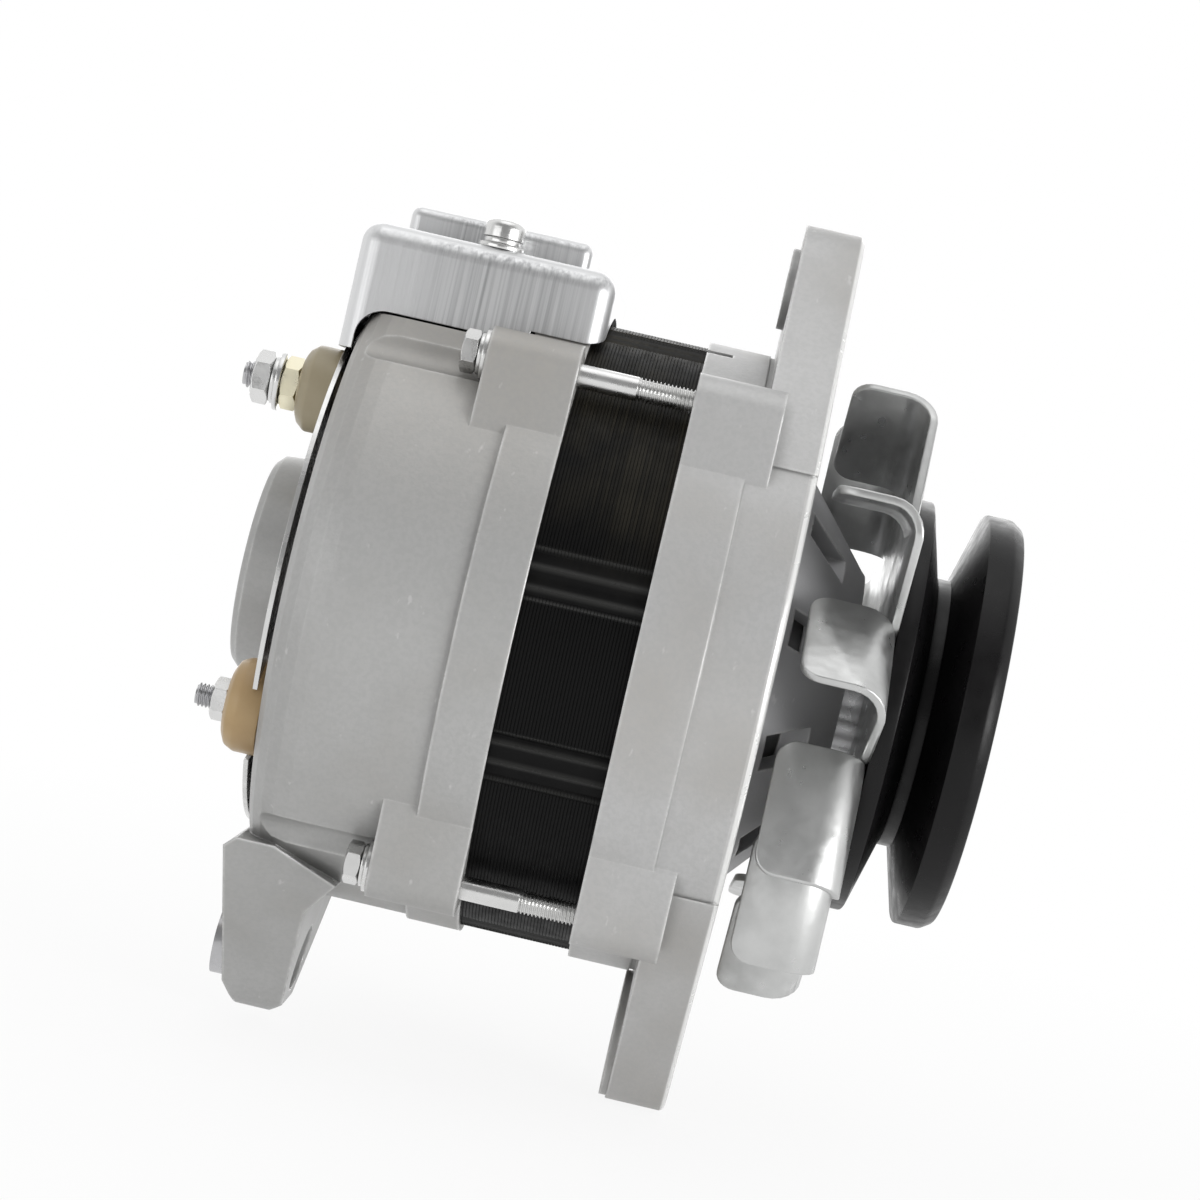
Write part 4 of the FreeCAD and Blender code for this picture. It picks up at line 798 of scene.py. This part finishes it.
def merged(*parts: BMesh) -> BMesh:
    """Several solids as one mesh.

    Args:
        parts: The solids, which are used up.

    Returns:
        The mesh of all of them.
    """
    whole = bmesh.new()
    for part in parts:
        scratch = bpy.data.meshes.new("scratch")
        part.to_mesh(scratch)
        part.free()
        whole.from_mesh(scratch)
        bpy.data.meshes.remove(scratch)
    return whole


def stand(name: str, data: bpy.types.ID) -> bpy.types.Object:
    """Put a new object into the scene.

    Args:
        name: Its name.
        data: Its mesh, lamp or camera.

    Returns:
        The object.
    """
    thing = bpy.data.objects.new(name, data)
    bpy.context.scene.collection.objects.link(thing)
    return thing


def add_piece(name: str, bm: BMesh, finish: Finish, body: Body,
              *stands_for: str) -> bpy.types.Object:
    """Put a finished mesh into the scene as a piece.

    Args:
        name: The piece's name.
        bm: Its mesh, which is used up.
        finish: Its finish.
        body: The body that it rides on.
        stands_for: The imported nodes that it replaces.

    Returns:
        The new object.
    """
    mesh = bpy.data.meshes.new(name)
    bm.to_mesh(mesh)
    bm.free()
    mesh.polygons.foreach_set("use_smooth", [True] * len(mesh.polygons))
    mesh.set_sharp_from_angle(angle=math.radians(32))
    piece = stand(name, mesh)
    finish.dress(piece)
    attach(piece, body.value)
    if stands_for:
        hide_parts(*stands_for)
    log.info("%s: %d faces for %s", name, len(mesh.polygons), ", ".join(stands_for) or "itself")
    return piece


# The studio


@dataclass(frozen=True)
class Studio:
    """Camera, soft lamps, pale floor and backdrop.

    Args:
        eye: Where the camera stands.
        yaw: The camera's turn from +Y towards -X, in degrees.
        pitch: How far the camera looks down, in degrees.
        roll: How far the picture is turned, in degrees.
        focal_px: Focal length in pixels of the photograph.
        picture_px: Width of the photograph in pixels.
    """

    eye: Vector = Vector((-0.05478, -0.66031, 0.03094))
    yaw: float = -1.54
    pitch: float = 1.94
    roll: float = 12.99
    focal_px: float = 2991.0
    picture_px: float = 1200.0

    def camera(self) -> None:
        """Stand the camera where the photograph was taken."""
        yaw, pitch, roll = (math.radians(a) for a in (self.yaw, self.pitch, self.roll))
        right = Vector((math.cos(yaw), -math.sin(yaw), 0))
        ahead = Vector((math.sin(yaw) * math.cos(pitch), math.cos(yaw) * math.cos(pitch),
                        -math.sin(pitch)))
        above = right.cross(ahead)
        across = right * math.cos(roll) + above * math.sin(roll)
        up = above * math.cos(roll) - right * math.sin(roll)
        data = bpy.data.cameras.new("camera")
        data.sensor_width = 36.0
        data.lens = self.focal_px / self.picture_px * data.sensor_width
        camera = stand("camera", data)
        turned = Matrix((across, up, -ahead)).transposed().to_4x4()
        camera.matrix_world = Matrix.Translation(self.eye) @ turned
        bpy.context.scene.camera = camera

    def lamp(self, name: str, place: Vector, width: float, power: float) -> None:
        """Hang one square soft lamp that points at the object.

        Args:
            name: The lamp's name.
            place: Where it hangs.
            width: Its side, in metres.
            power: Its power, in watts.
        """
        data = bpy.data.lights.new(name, "AREA")
        data.size = width
        data.energy = power
        lamp = stand(name, data)
        lamp.location = place
        middle = (CAD_BOX[0] + CAD_BOX[1]) / 2
        lamp.rotation_mode = "QUATERNION"
        lamp.rotation_quaternion = (middle - place).to_track_quat("-Z", "Y")

    def seen_directly(self, graph: Graph) -> Socket:
        """Tell whether a ray comes from the camera, a reflection or glass.

        Args:
            graph: The tree that asks.

        Returns:
            1 if it does, and otherwise 0.
        """
        path = graph.add("LightPath").outputs
        seen = graph.calc("MAXIMUM", path["Is Camera Ray"], path["Is Glossy Ray"])
        return graph.calc("MAXIMUM", seen, path["Is Transmission Ray"])

    def world(self, seen: float = 1.0, ambient: float = 0.6, behind: float = 0.32,
              turn: Corner = (-0.75, 0.1)) -> None:
        """A backdrop that the camera sees white and that lights the object only softly.

        Args:
            seen: Strength that reflections find in front of the camera.
            ambient: Strength as a light on dull surfaces.
            behind: Strength that reflections find in the darker room behind the camera.
            turn: The Y of the directions between which the one room turns into the other.
        """
        world = bpy.data.worlds.new("backdrop")
        bpy.context.scene.world = world
        graph = Graph(world)
        away = graph.add("SeparateXYZ", ("Vector", graph.coordinates["Generated"])).outputs[1]
        room = graph.add("MapRange", (0, away), (1, turn[0]), (2, turn[1]), (3, behind),
                         (4, seen), interpolation_type="SMOOTHSTEP").outputs[0]
        white = graph.calc("MAXIMUM", room, graph.add("LightPath").outputs["Is Camera Ray"])
        graph.put(graph.shader.inputs["Color"], (1, 1, 1, 1))
        graph.put(graph.shader.inputs["Strength"],
                  graph.ramp(self.seen_directly(graph), 0, 1, ambient, white))

    def floor(self, reach: float = 6.0, glow: float = 0.88, fade: Corner = (0.15, 0.45),
              under: float = 0.5 * MM) -> None:
        """A pale floor just under the object, which turns into the backdrop's white.

        Args:
            reach: Side of the floor, in metres.
            glow: How much of its white is its own near the object, so that only a faint
                shadow shows there.
            fade: The distances between which all of its white becomes its own, in metres.
            under: How far it lies under the object.
        """
        bm = bmesh.new()
        bmesh.ops.create_grid(bm, x_segments=1, y_segments=1, size=reach / 2)
        moved(bm, Vector((0, 0, CAD_BOX[0].z - under)))
        mesh = bpy.data.meshes.new("floor")
        bm.to_mesh(mesh)
        bm.free()
        material = bpy.data.materials.new("floor_white")
        graph = Graph(material)
        graph.put(graph.shader.inputs["Base Color"], (0.9, 0.9, 0.9, 1))
        graph.put(graph.shader.inputs["Roughness"], 0.9)
        away = graph.add("VectorMath", (0, graph.place), operation="LENGTH").outputs["Value"]
        own = graph.times(self.seen_directly(graph), graph.ramp(away, *fade, glow, 1.0))
        mix = graph.add("MixShader", (0, own), (1, graph.shader.outputs[0]),
                        (2, graph.add("Emission").outputs[0]))
        graph.put(graph.tree.nodes["Material Output"].inputs["Surface"], mix.outputs[0])
        mesh.materials.append(material)
        floor = stand("floor", mesh)

    def build(self) -> None:
        """Set up everything that isn't the object."""
        bpy.context.scene.view_settings.view_transform = "Standard"
        self.camera()
        self.world()
        self.floor()
        self.lamp("lamp_above", Vector((-0.1, -0.35, 1.1)), width=0.9, power=1.8)
        self.lamp("lamp_left", Vector((-0.9, -0.9, -0.1)), width=1.0, power=3.6)
        self.lamp("lamp_right", Vector((1.0, -0.75, -0.05)), width=0.9, power=17.5)
        self.lamp("lamp_far", Vector((-0.1, 1.1, 0.35)), width=1.0, power=4.0)


# The alternator's sub-assemblies


@dataclass
class DriveEnd:
    """The pulley and what holds it on the shaft.

    Args:
        collar_wall: Wall of the collar behind the pulley.
        groove_top: Half of the groove's width at the rim.
        groove_floor: Half of the groove's flat bottom.
        groove_depth: How deep the belt runs.
        dish: The radius of the hollow that the nut sits in.
        flare: How far the hollow's mouth widens.
        taper: How far the hollow narrows towards its floor.
        rim: The rounding of the rims.
        flange: Width of the flange round the undercut back.
        hub: How far inside the rim the back of the hub begins.
        undercut: Depth of the undercut.
        slope: Width of the undercut's slopes.
        bore: Radius of the nut's and washer's holes.
        flats: Across the nut's flats.
    """

    collar_wall: float = 3.8 * MM
    groove_top: float = 6 * MM
    groove_floor: float = 1.5 * MM
    groove_depth: float = 16 * MM
    dish: float = 25 * MM
    flare: float = 6 * MM
    taper: float = 1.5 * MM
    rim: float = 0.8 * MM
    flange: float = 6 * MM
    hub: float = 26 * MM
    undercut: float = 3 * MM
    slope: float = 2 * MM
    bore: float = 8 * MM
    flats: float = 24 * MM

    def pulley(self) -> None:
        """Turn the V pulley with its dished front and its undercut back."""
        room = Room.of("pulley")
        bore = Room.of("fan_collar").radius - self.collar_wall
        rear, front, radius = room.low.x, room.high.x, room.radius
        sunk, floor = rear + self.undercut, radius - self.groove_depth
        outline = [
            (rear, bore), (rear, radius - self.hub), (sunk, radius - self.hub + self.slope),
            (sunk, radius - self.flange - self.slope), (rear, radius - self.flange),
            (rear, radius), (-self.groove_top, radius), (-self.groove_floor, floor),
            (self.groove_floor, floor), (self.groove_top, radius),
            (front - 3 * self.rim, radius), (front, radius - 2 * self.rim),
            (front, self.dish + self.flare), (front - self.slope, self.dish),
            (0, self.dish - self.taper), (0, bore)]
        add_piece("pulley_wheel", lathe(outline, steps=144, ease=0.45 * MM), PAINT, Body.ROTOR,
                  "pulley")

    def nut(self) -> None:
        """The shaft's nut and its spring washer."""
        nut, washer = Room.of("pulley_nut"), Room.of("pulley_washer")
        add_piece("shaft_nut", hexagon(nut.low.x, nut.high.x, self.flats, self.bore), ZINC,
                  Body.ROTOR, "pulley_nut")
        ring = split_ring(washer.low.x, washer.high.x, self.bore + 0.2 * MM, washer.radius)
        add_piece("shaft_spring_washer", ring, ZINC, Body.ROTOR, "pulley_washer")

    def build(self) -> None:
        """Make the pulley, nut and washer."""
        self.pulley()
        self.nut()


@dataclass
class Fan:
    """The pressed fan: a saw-edged plate with its blades folded back.

    Args:
        reach: Radius of the blades' outer ends.
        bore: Radius of its hole.
        sheet: Thickness of the sheet.
        bend: Outer radius of the folds.
        bends: Steps in a fold and in a rounded corner.
        offset: Distance of the blades from the shaft.
        chord: Length of each blade along its fold.
        corner: Rounding of a blade's free corners.
        ease: Rounding of the sheet's edges.
        first: Direction of the first blade's outer end, in degrees from +Y.
        steps: Uneven steps between blades, in degrees.
    """

    reach: float = 69 * MM
    bore: float = 8.6 * MM
    sheet: float = 1.8 * MM
    bend: float = 7.5 * MM
    bends: int = 6
    offset: float = 41.4 * MM
    chord: float = 29 * MM
    corner: float = 4.5 * MM
    ease: float = 0.35 * MM
    first: float = 100.0
    steps: tuple[int, ...] = (40, 35, 36, 25, 33, 40, 36, 34, 43, 38)

    def folded(self, bm: BMesh, edge: BMEdge, outward: Vector, tip: float) -> None:
        """Fold one blade back from an edge of the plate.

        Args:
            bm: The fan's sheet.
            edge: The edge that the blade grows from.
            outward: The direction away from the shaft, square to the fold.
            tip: The x of the blade's free edge.
        """
        front = edge.verts[0].co.x
        centre = edge.verts[0].co + Vector((-self.bend, 0, 0))
        turn = Matrix.Rotation(TURN / 4 / self.bends, 3, AXIS.cross(outward))
        for _ in range(self.bends):
            fresh, edges = grown(bm, [edge])
            bmesh.ops.rotate(bm, verts=fresh, cent=centre, matrix=turn)
            edge = next(e for e in edges if set(e.verts) == set(fresh))
        fresh, _ = grown(bm, [edge])
        bmesh.ops.translate(bm, verts=fresh, vec=(tip - front + self.bend, 0, 0))
        bmesh.ops.bevel(bm, geom=fresh, offset=self.corner, segments=self.bends, profile=0.5,
                        affect="VERTICES", material=-1)

    def build(self) -> None:
        """Cut the plate, fold the blades and give the sheet its thickness."""
        room = Room.of("fan")
        fold = self.offset - self.bend
        far = math.sqrt(self.reach ** 2 - self.offset ** 2)
        near = far - self.chord
        lean = math.degrees(math.atan2(far, self.offset))
        bm = bmesh.new()
        rim, outwards = [], []
        angle = self.first
        for step in self.steps:
            around = math.radians(angle - lean)
            outward = Vector((0, math.cos(around), math.sin(around)))
            along = Vector((0, -math.sin(around), math.cos(around)))
            outwards.append(outward)
            rim += [bm.verts.new(Vector((room.high.x, 0, 0)) + outward * fold + along * place)
                    for place in (near, far)]
            angle += step
        edges = [bm.edges.new((rim[i], rim[(i + 1) % len(rim)])) for i in range(len(rim))]
        for vert in grown(bm, edges)[0]:
            vert.co.yz = vert.co.yz.normalized() * self.bore
        for index, outward in enumerate(outwards):
            self.folded(bm, edges[2 * index], outward, room.low.x)
        bmesh.ops.recalc_face_normals(bm, faces=bm.faces)
        if sum(f.normal.x for f in bm.faces) < 0:
            bmesh.ops.reverse_faces(bm, faces=bm.faces)
        piece = add_piece("fan_sheet", bm, PRESSED, Body.ROTOR, "fan")
        wall = piece.modifiers.new("thickness", "SOLIDIFY")
        wall.thickness = self.sheet
        wall.offset = -1
        wall.use_even_offset = True
        ease = piece.modifiers.new("edges", "BEVEL")
        ease.width = self.ease
        ease.segments = 2
        ease.limit_method = "ANGLE"
        ease.angle_limit = math.radians(50)


@dataclass
class StatorCore:
    """The stack of laminations with its welded seams and its slots.

    Args:
        bore_depth: How far inside the stack's rim its bore lies.
        tooth_depth: How far inside the rim the slots end.
        pitch: Thickness of one lamination.
        seam_depth: How far the gap between two laminations is set back.
        seam_slope: Width of each side of that gap.
        steps: Faces round the axis.
        weld_angles: Middles of the welds, in degrees from -Y towards +Z.
        groove_pitch: Distance between a weld's three grooves, in degrees.
        groove_half: Half of a groove's width, in degrees.
        groove_depth: Depth of a groove.
        bead_depth: How far the bead between two grooves is set back.
        slots: How many winding slots there are.
        slot_half: Half of a slot's width, in degrees.
    """

    bore_depth: float = 21.8 * MM
    tooth_depth: float = 9.8 * MM
    pitch: float = 0.7 * MM
    seam_depth: float = 0.18 * MM
    seam_slope: float = 0.06 * MM
    steps: int = 288
    weld_angles: tuple[float, ...] = (11, -21, 74, 106, 159, 191, -74, -106)
    groove_pitch: float = 3.55
    groove_half: float = 1.1
    groove_depth: float = 1.0 * MM
    bead_depth: float = 0.3 * MM
    slots: int = 36
    slot_half: float = 2.0

    def stack(self, room: Room) -> BMesh:
        """Turn the laminations with the gaps between them.

        Args:
            room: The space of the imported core.

        Returns:
            The round stack.
        """
        rear, front, radius = room.low.x, room.high.x, room.radius
        seam = radius - self.seam_depth
        outline = [(rear, radius - self.bore_depth)]
        count = int((front - rear) / self.pitch)
        for i in range(count):
            start = rear + i * (front - rear) / count
            outline += [(start, seam), (start + self.seam_slope, radius),
                        (start + self.pitch - 2 * self.seam_slope, radius),
                        (start + self.pitch - self.seam_slope, seam)]
        outline += [(front, seam), (front, radius - self.bore_depth)]
        return lathe(outline, steps=self.steps)

    def build(self) -> None:
        """Turn the stack, press in the welds and open the slots."""
        room = Room.of("stator_core")
        radius, bore = room.radius, room.radius - self.bore_depth
        bm = self.stack(room)
        slot_step = 360 / self.slots
        for vert in bm.verts:
            reach = math.hypot(vert.co.y, vert.co.z)
            around = math.degrees(math.atan2(vert.co.z, -vert.co.y))
            if reach < bore * 1.01:
                beside = (around + slot_step / 2) % slot_step - slot_step / 2
                if abs(beside) < self.slot_half:
                    vert.co.yz = vert.co.yz * ((radius - self.tooth_depth) / reach)
                continue
            for weld in self.weld_angles:
                beside = abs((around - weld + 180) % 360 - 180)
                into = abs(beside - self.groove_pitch * round(beside / self.groove_pitch))
                if beside < 1.4 * self.groove_pitch and into < self.groove_half:
                    vert.co.yz = vert.co.yz * ((radius - self.groove_depth) / reach)
                elif beside < self.groove_pitch:
                    vert.co.yz = vert.co.yz * ((radius - self.bead_depth) / reach)
        add_piece("lamination_stack", bm, CORE, Body.HOUSING, "stator_core")


@dataclass
class ThroughBolts:
    """Four bolts with their washers, which clamp the brackets to the core.

    Args:
        radius: Radius of the bolts.
        flats: Across the head's flats.
        thread_start: The x where the thread begins.
        pitch: The thread's pitch.
        flat_radius: Radius of the flat washers.
        ring_radius: Radius of the spring washers.
        run_out: Length and depth of the shank's slope to the thread.
        sunk: How far the shank reaches into the head.
    """

    radius: float = 2.5 * MM
    flats: float = 8 * MM
    thread_start: float = -73.5 * MM
    pitch: float = 0.8 * MM
    flat_radius: float = 5.4 * MM
    ring_radius: float = 4.5 * MM
    run_out: float = 0.3 * MM
    sunk: float = 1 * MM

    def build(self) -> None:
        """Make the bolts and washers at the four corners."""
        bolts, washers = Room.of("through_bolts"), Room.of("bolt_washers")
        corner = bolts.high - Vector((0, self.flats / 2, hex_radius(self.flats, 0)))
        seat, middle, face = washers.low.x, washers.centre.x, washers.high.x
        inside, start = seat - self.sunk, self.thread_start
        neck = start + self.run_out
        shank = [(inside, 0), (inside, self.radius), (start, self.radius),
                 (neck, self.radius - self.run_out), (neck, 0)]
        metal, rings = [], []
        for side, level in ((-1, -1), (-1, 1), (1, -1), (1, 1)):
            at = Vector((0, side * corner.y, level * corner.z))
            metal += [hexagon(bolts.low.x, seat, self.flats, bore=0.4 * MM, at=at),
                      lathe(shank, at, steps=48),
                      thread(start, bolts.high.x, self.radius, self.pitch, at)]
            rings += [flat_ring(middle, face, self.radius, self.flat_radius, at, ease=0.15 * MM),
                      split_ring(seat, middle, self.radius, self.ring_radius, at)]
        add_piece("housing_bolts", merged(*metal), ZINC, Body.HOUSING, "through_bolts")
        add_piece("housing_washers", merged(*rings), ZINC, Body.HOUSING, "bolt_washers")


@dataclass
class CoverFasteners:
    """The regulator cover's two pan screws, each on a spring washer and a flat one.

    Args:
        head: Radius of the screw head.
        shank: Radius of the screw.
        pitch: The thread's pitch.
        flat: Thickness of the flat washer.
        slack: How much wider than the screw the washers' holes are, on each side.
        ring_radius: Radius of the spring washer.
    """

    head: float = 4.4 * MM
    shank: float = 2 * MM
    pitch: float = 0.7 * MM
    flat: float = 1 * MM
    slack: float = 0.1 * MM
    ring_radius: float = 4 * MM

    def build(self) -> None:
        """Stand both sets on the cover."""
        screws, washers = Room.of("cover_screws"), Room.of("cover_washers")
        top, seat, base = screws.high.z, washers.high.z, washers.low.z
        split, bore = base + self.flat, self.shank + self.slack
        metal, rings = [], []
        for side in (screws.low.y + self.head, screws.high.y - self.head):
            place = Vector((screws.centre.x, side, 0))
            metal += [pan_head(seat, self.head, top - seat),
                      thread(screws.low.z, seat + OVERLAP, self.shank, self.pitch)]
            rings += [flat_ring(base, split, bore, washers.radius_across),
                      split_ring(split, seat, bore, self.ring_radius)]
            for piece in metal[-2:] + rings[-2:]:
                moved(piece, place, -1, "Y")
        add_piece("pan_screws", merged(*metal), ZINC, Body.HOUSING, "cover_screws")
        add_piece("pan_washers", merged(*rings), ZINC, Body.HOUSING, "cover_washers")


@dataclass
class Terminal:
    """An insulated stud with the nuts and washers on it.

    Args:
        name: The terminal's name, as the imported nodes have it.
        radius: Radius of the stud.
        pitch: Pitch of its thread.
        flats: Across the flats of its nuts and head.
        head_depth: Height of the hexagon on its inner end.
        rim: The insulator's corners, as (distance past its outer end, radius).
        moulded: The insulator's finish.
    """

    name: str
    radius: float
    pitch: float
    flats: float
    head_depth: float
    rim: tuple[Corner, ...]
    moulded: Finish

    @property
    def bore(self) -> float:
        """The radius of the holes that the thread fills."""
        return self.radius * 0.9

    def stud(self, at: Vector) -> None:
        """The threaded stud with its head inside the housing.

        Args:
            at: A point on its axis.
        """
        room = Room.of(f"{self.name}_stud")
        neck = room.high.x - self.head_depth
        add_piece(f"{self.name}_terminal_stud",
                  merged(thread(room.low.x, neck + OVERLAP, self.radius, self.pitch, at),
                         hexagon(neck, room.high.x, self.flats, bore=0.3 * MM, at=at)),
                  STEEL, Body.HOUSING, f"{self.name}_stud")

    def insulator(self, at: Vector) -> None:
        """The moulded insulator: a rounded flange and a neck.

        Args:
            at: A point on its axis.
        """
        room = Room.of(f"{self.name}_insulator")
        start, neck = room.low.x, self.flats / 2
        shoulder = start + self.rim[-1][0]
        outline = [(start, self.bore), *((start + along, radius) for along, radius in self.rim),
                   (shoulder, neck), (room.high.x, neck), (room.high.x, self.bore)]
        add_piece(f"{self.name}_bushing", lathe(outline, at, steps=72, ease=0.35 * MM),
                  self.moulded, Body.HOUSING, f"{self.name}_insulator")

    def nut(self, node: str, finish: Finish, at: Vector) -> None:
        """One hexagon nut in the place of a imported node.

        Args:
            node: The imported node.
            finish: The nut's finish.
            at: A point on its axis.
        """
        room = Room.of(node)
        add_piece(f"{node}_hex", hexagon(room.low.x, room.high.x, self.flats, self.bore, at),
                  finish, Body.HOUSING, node)

    def washers(self, at: Vector, flat: float = 1 * MM, slack: float = 0.2 * MM,
                ring_radius: float = 5.2 * MM) -> None:
        """The flat washer and the spring washer under the outer nut.

        Args:
            at: A point on their axis.
            flat: Thickness of the flat one.
            slack: How much wider than the stud their holes are, on each side.
            ring_radius: Radius of the spring washer.
        """
        room = Room.of(f"{self.name}_washers")
        split, bore = room.high.x - flat, self.radius + slack
        add_piece(f"{self.name}_washer_pair",
                  merged(flat_ring(split, room.high.x, bore, room.radius, at),
                         split_ring(room.low.x, split, bore, ring_radius, at)),
                  ZINC, Body.HOUSING, f"{self.name}_washers")

    def build(self) -> None:
        """Make the stud, its insulator and what is screwed on it."""
        room = Room.of(f"{self.name}_stud")
        at = Vector((0, room.centre.y, room.centre.z))
        self.stud(at)
        self.insulator(at)
        self.nut(f"{self.name}_nut", ZINC, at)
        if self.name == "battery":
            self.nut(f"{self.name}_lower_nut", BRASS, at)
            self.washers(at)


@dataclass
class PlateScrews:
    """The three small screws on the rear end plate.

    Args:
        angles: Their directions from +Y, in degrees.
        inset: How far inside the plate's edge they sit.
        head: Radius of the heads.
        height: Height of the heads.
        shank: Radius of the screws.
        pitch: Pitch of their thread.
        sunk: How far the thread reaches into the head.
    """

    angles: tuple[float, ...] = (15, 75, 295)
    inset: float = 8 * MM
    head: float = 3 * MM
    height: float = 2 * MM
    shank: float = 1.5 * MM
    pitch: float = 0.5 * MM
    sunk: float = 0.4 * MM

    def build(self) -> None:
        """Screw them in from behind."""
        plate, room = Room.of("rear_end_plate"), Room.of("plate_screws")
        circle = plate.radius - self.inset
        metal = []
        for angle in self.angles:
            around = math.radians(angle)
            at = Vector((plate.low.x, circle * math.cos(around), circle * math.sin(around)))
            metal += [moved(pan_head(0, self.head, self.height), at, 2),
                      thread(plate.low.x - self.sunk, room.high.x, self.shank, self.pitch, at,
                             steps=24)]
        add_piece("end_plate_screws", merged(*metal), ZINC, Body.HOUSING, "plate_screws")


@dataclass
class ShaftEnd:
    """The rotor shaft with the thread for its nut.

    Args:
        radius: Radius where the front bearing and the pulley sit.
        shoulder: Radius under the poles.
        neck: Radius under the slip rings.
        rear_radius: Radius in the rear bearing.
        chamfer: Slope at the rear end.
        shoulder_gap: How far past the slip rings' sleeve the shoulder begins.
        thread_radius: Radius of the thread.
        thread_depth: How far under it the plain shaft ends.
        pitch: Pitch of the thread.
    """

    radius: float = 8.5 * MM
    shoulder: float = 11 * MM
    neck: float = 8 * MM
    rear_radius: float = 6 * MM
    chamfer: float = 0.6 * MM
    shoulder_gap: float = 1.5 * MM
    thread_radius: float = 8 * MM
    thread_depth: float = 1 * MM
    pitch: float = 1.5 * MM

    def build(self) -> None:
        """Turn the shaft and cut its thread."""
        room, inner = Room.of("rotor_shaft"), Room.of("rear_bearing_inner")
        bearing = Room.of("front_bearing_inner").low.x
        sleeve = Room.of("slip_ring_sleeve").high.x + self.shoulder_gap
        plain = lathe([
            (room.low.x, 0), (room.low.x, self.rear_radius - self.chamfer),
            (inner.low.x, self.rear_radius), (inner.high.x, self.rear_radius),
            (inner.high.x, self.neck), (sleeve, self.neck), (sleeve, self.shoulder),
            (bearing, self.shoulder), (bearing, self.radius), (0, self.radius),
            (0, self.thread_radius - self.thread_depth), (0, 0)], ease=0.2 * MM)
        screwed = thread(-OVERLAP, room.high.x, self.thread_radius, self.pitch, steps=72)
        add_piece("turned_shaft", merged(plain, screwed), STEEL, Body.ROTOR, "rotor_shaft")


def dress_packed_nodes() -> None:
    """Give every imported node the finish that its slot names, or its own one."""
    # The front bracket takes the lighter copy of the casting, which is painted light.
    own = {"regulator_cover": SHEET, "front_bracket": LIT_FRONT_CAST}
    for part in frame["record"]["subparts"]:
        finish = own.get(part["node"], FINISHES[part["material_slot"]])
        finish.dress(frame["nodes"][part["node"]])


def main() -> None:
    """Build the sub-assemblies in order and report each piece."""
    logging.basicConfig(level=logging.INFO, format="%(name)s: %(message)s")
    dress_packed_nodes()
    battery = Terminal("battery", radius=3 * MM, pitch=1 * MM, flats=10 * MM, head_depth=4 * MM,
                       rim=((0, 6.4 * MM), (0.8 * MM, 8 * MM), (2.5 * MM, 9.4 * MM),
                            (8 * MM, 9.4 * MM)), moulded=NYLON)
    field = Terminal("field", radius=2.5 * MM, pitch=0.8 * MM, flats=8 * MM,
                     head_depth=3.5 * MM, rim=((0, 7 * MM), (1 * MM, 9 * MM), (3 * MM, 10 * MM),
                                               (8 * MM, 10 * MM)), moulded=TAN)
    for assembly in (DriveEnd(), ShaftEnd(), Fan(), StatorCore(), ThroughBolts(),
                     CoverFasteners(), battery, field, PlateScrews()):
        assembly.build()
    Studio().build()


if __name__ == "__main__":
    main()
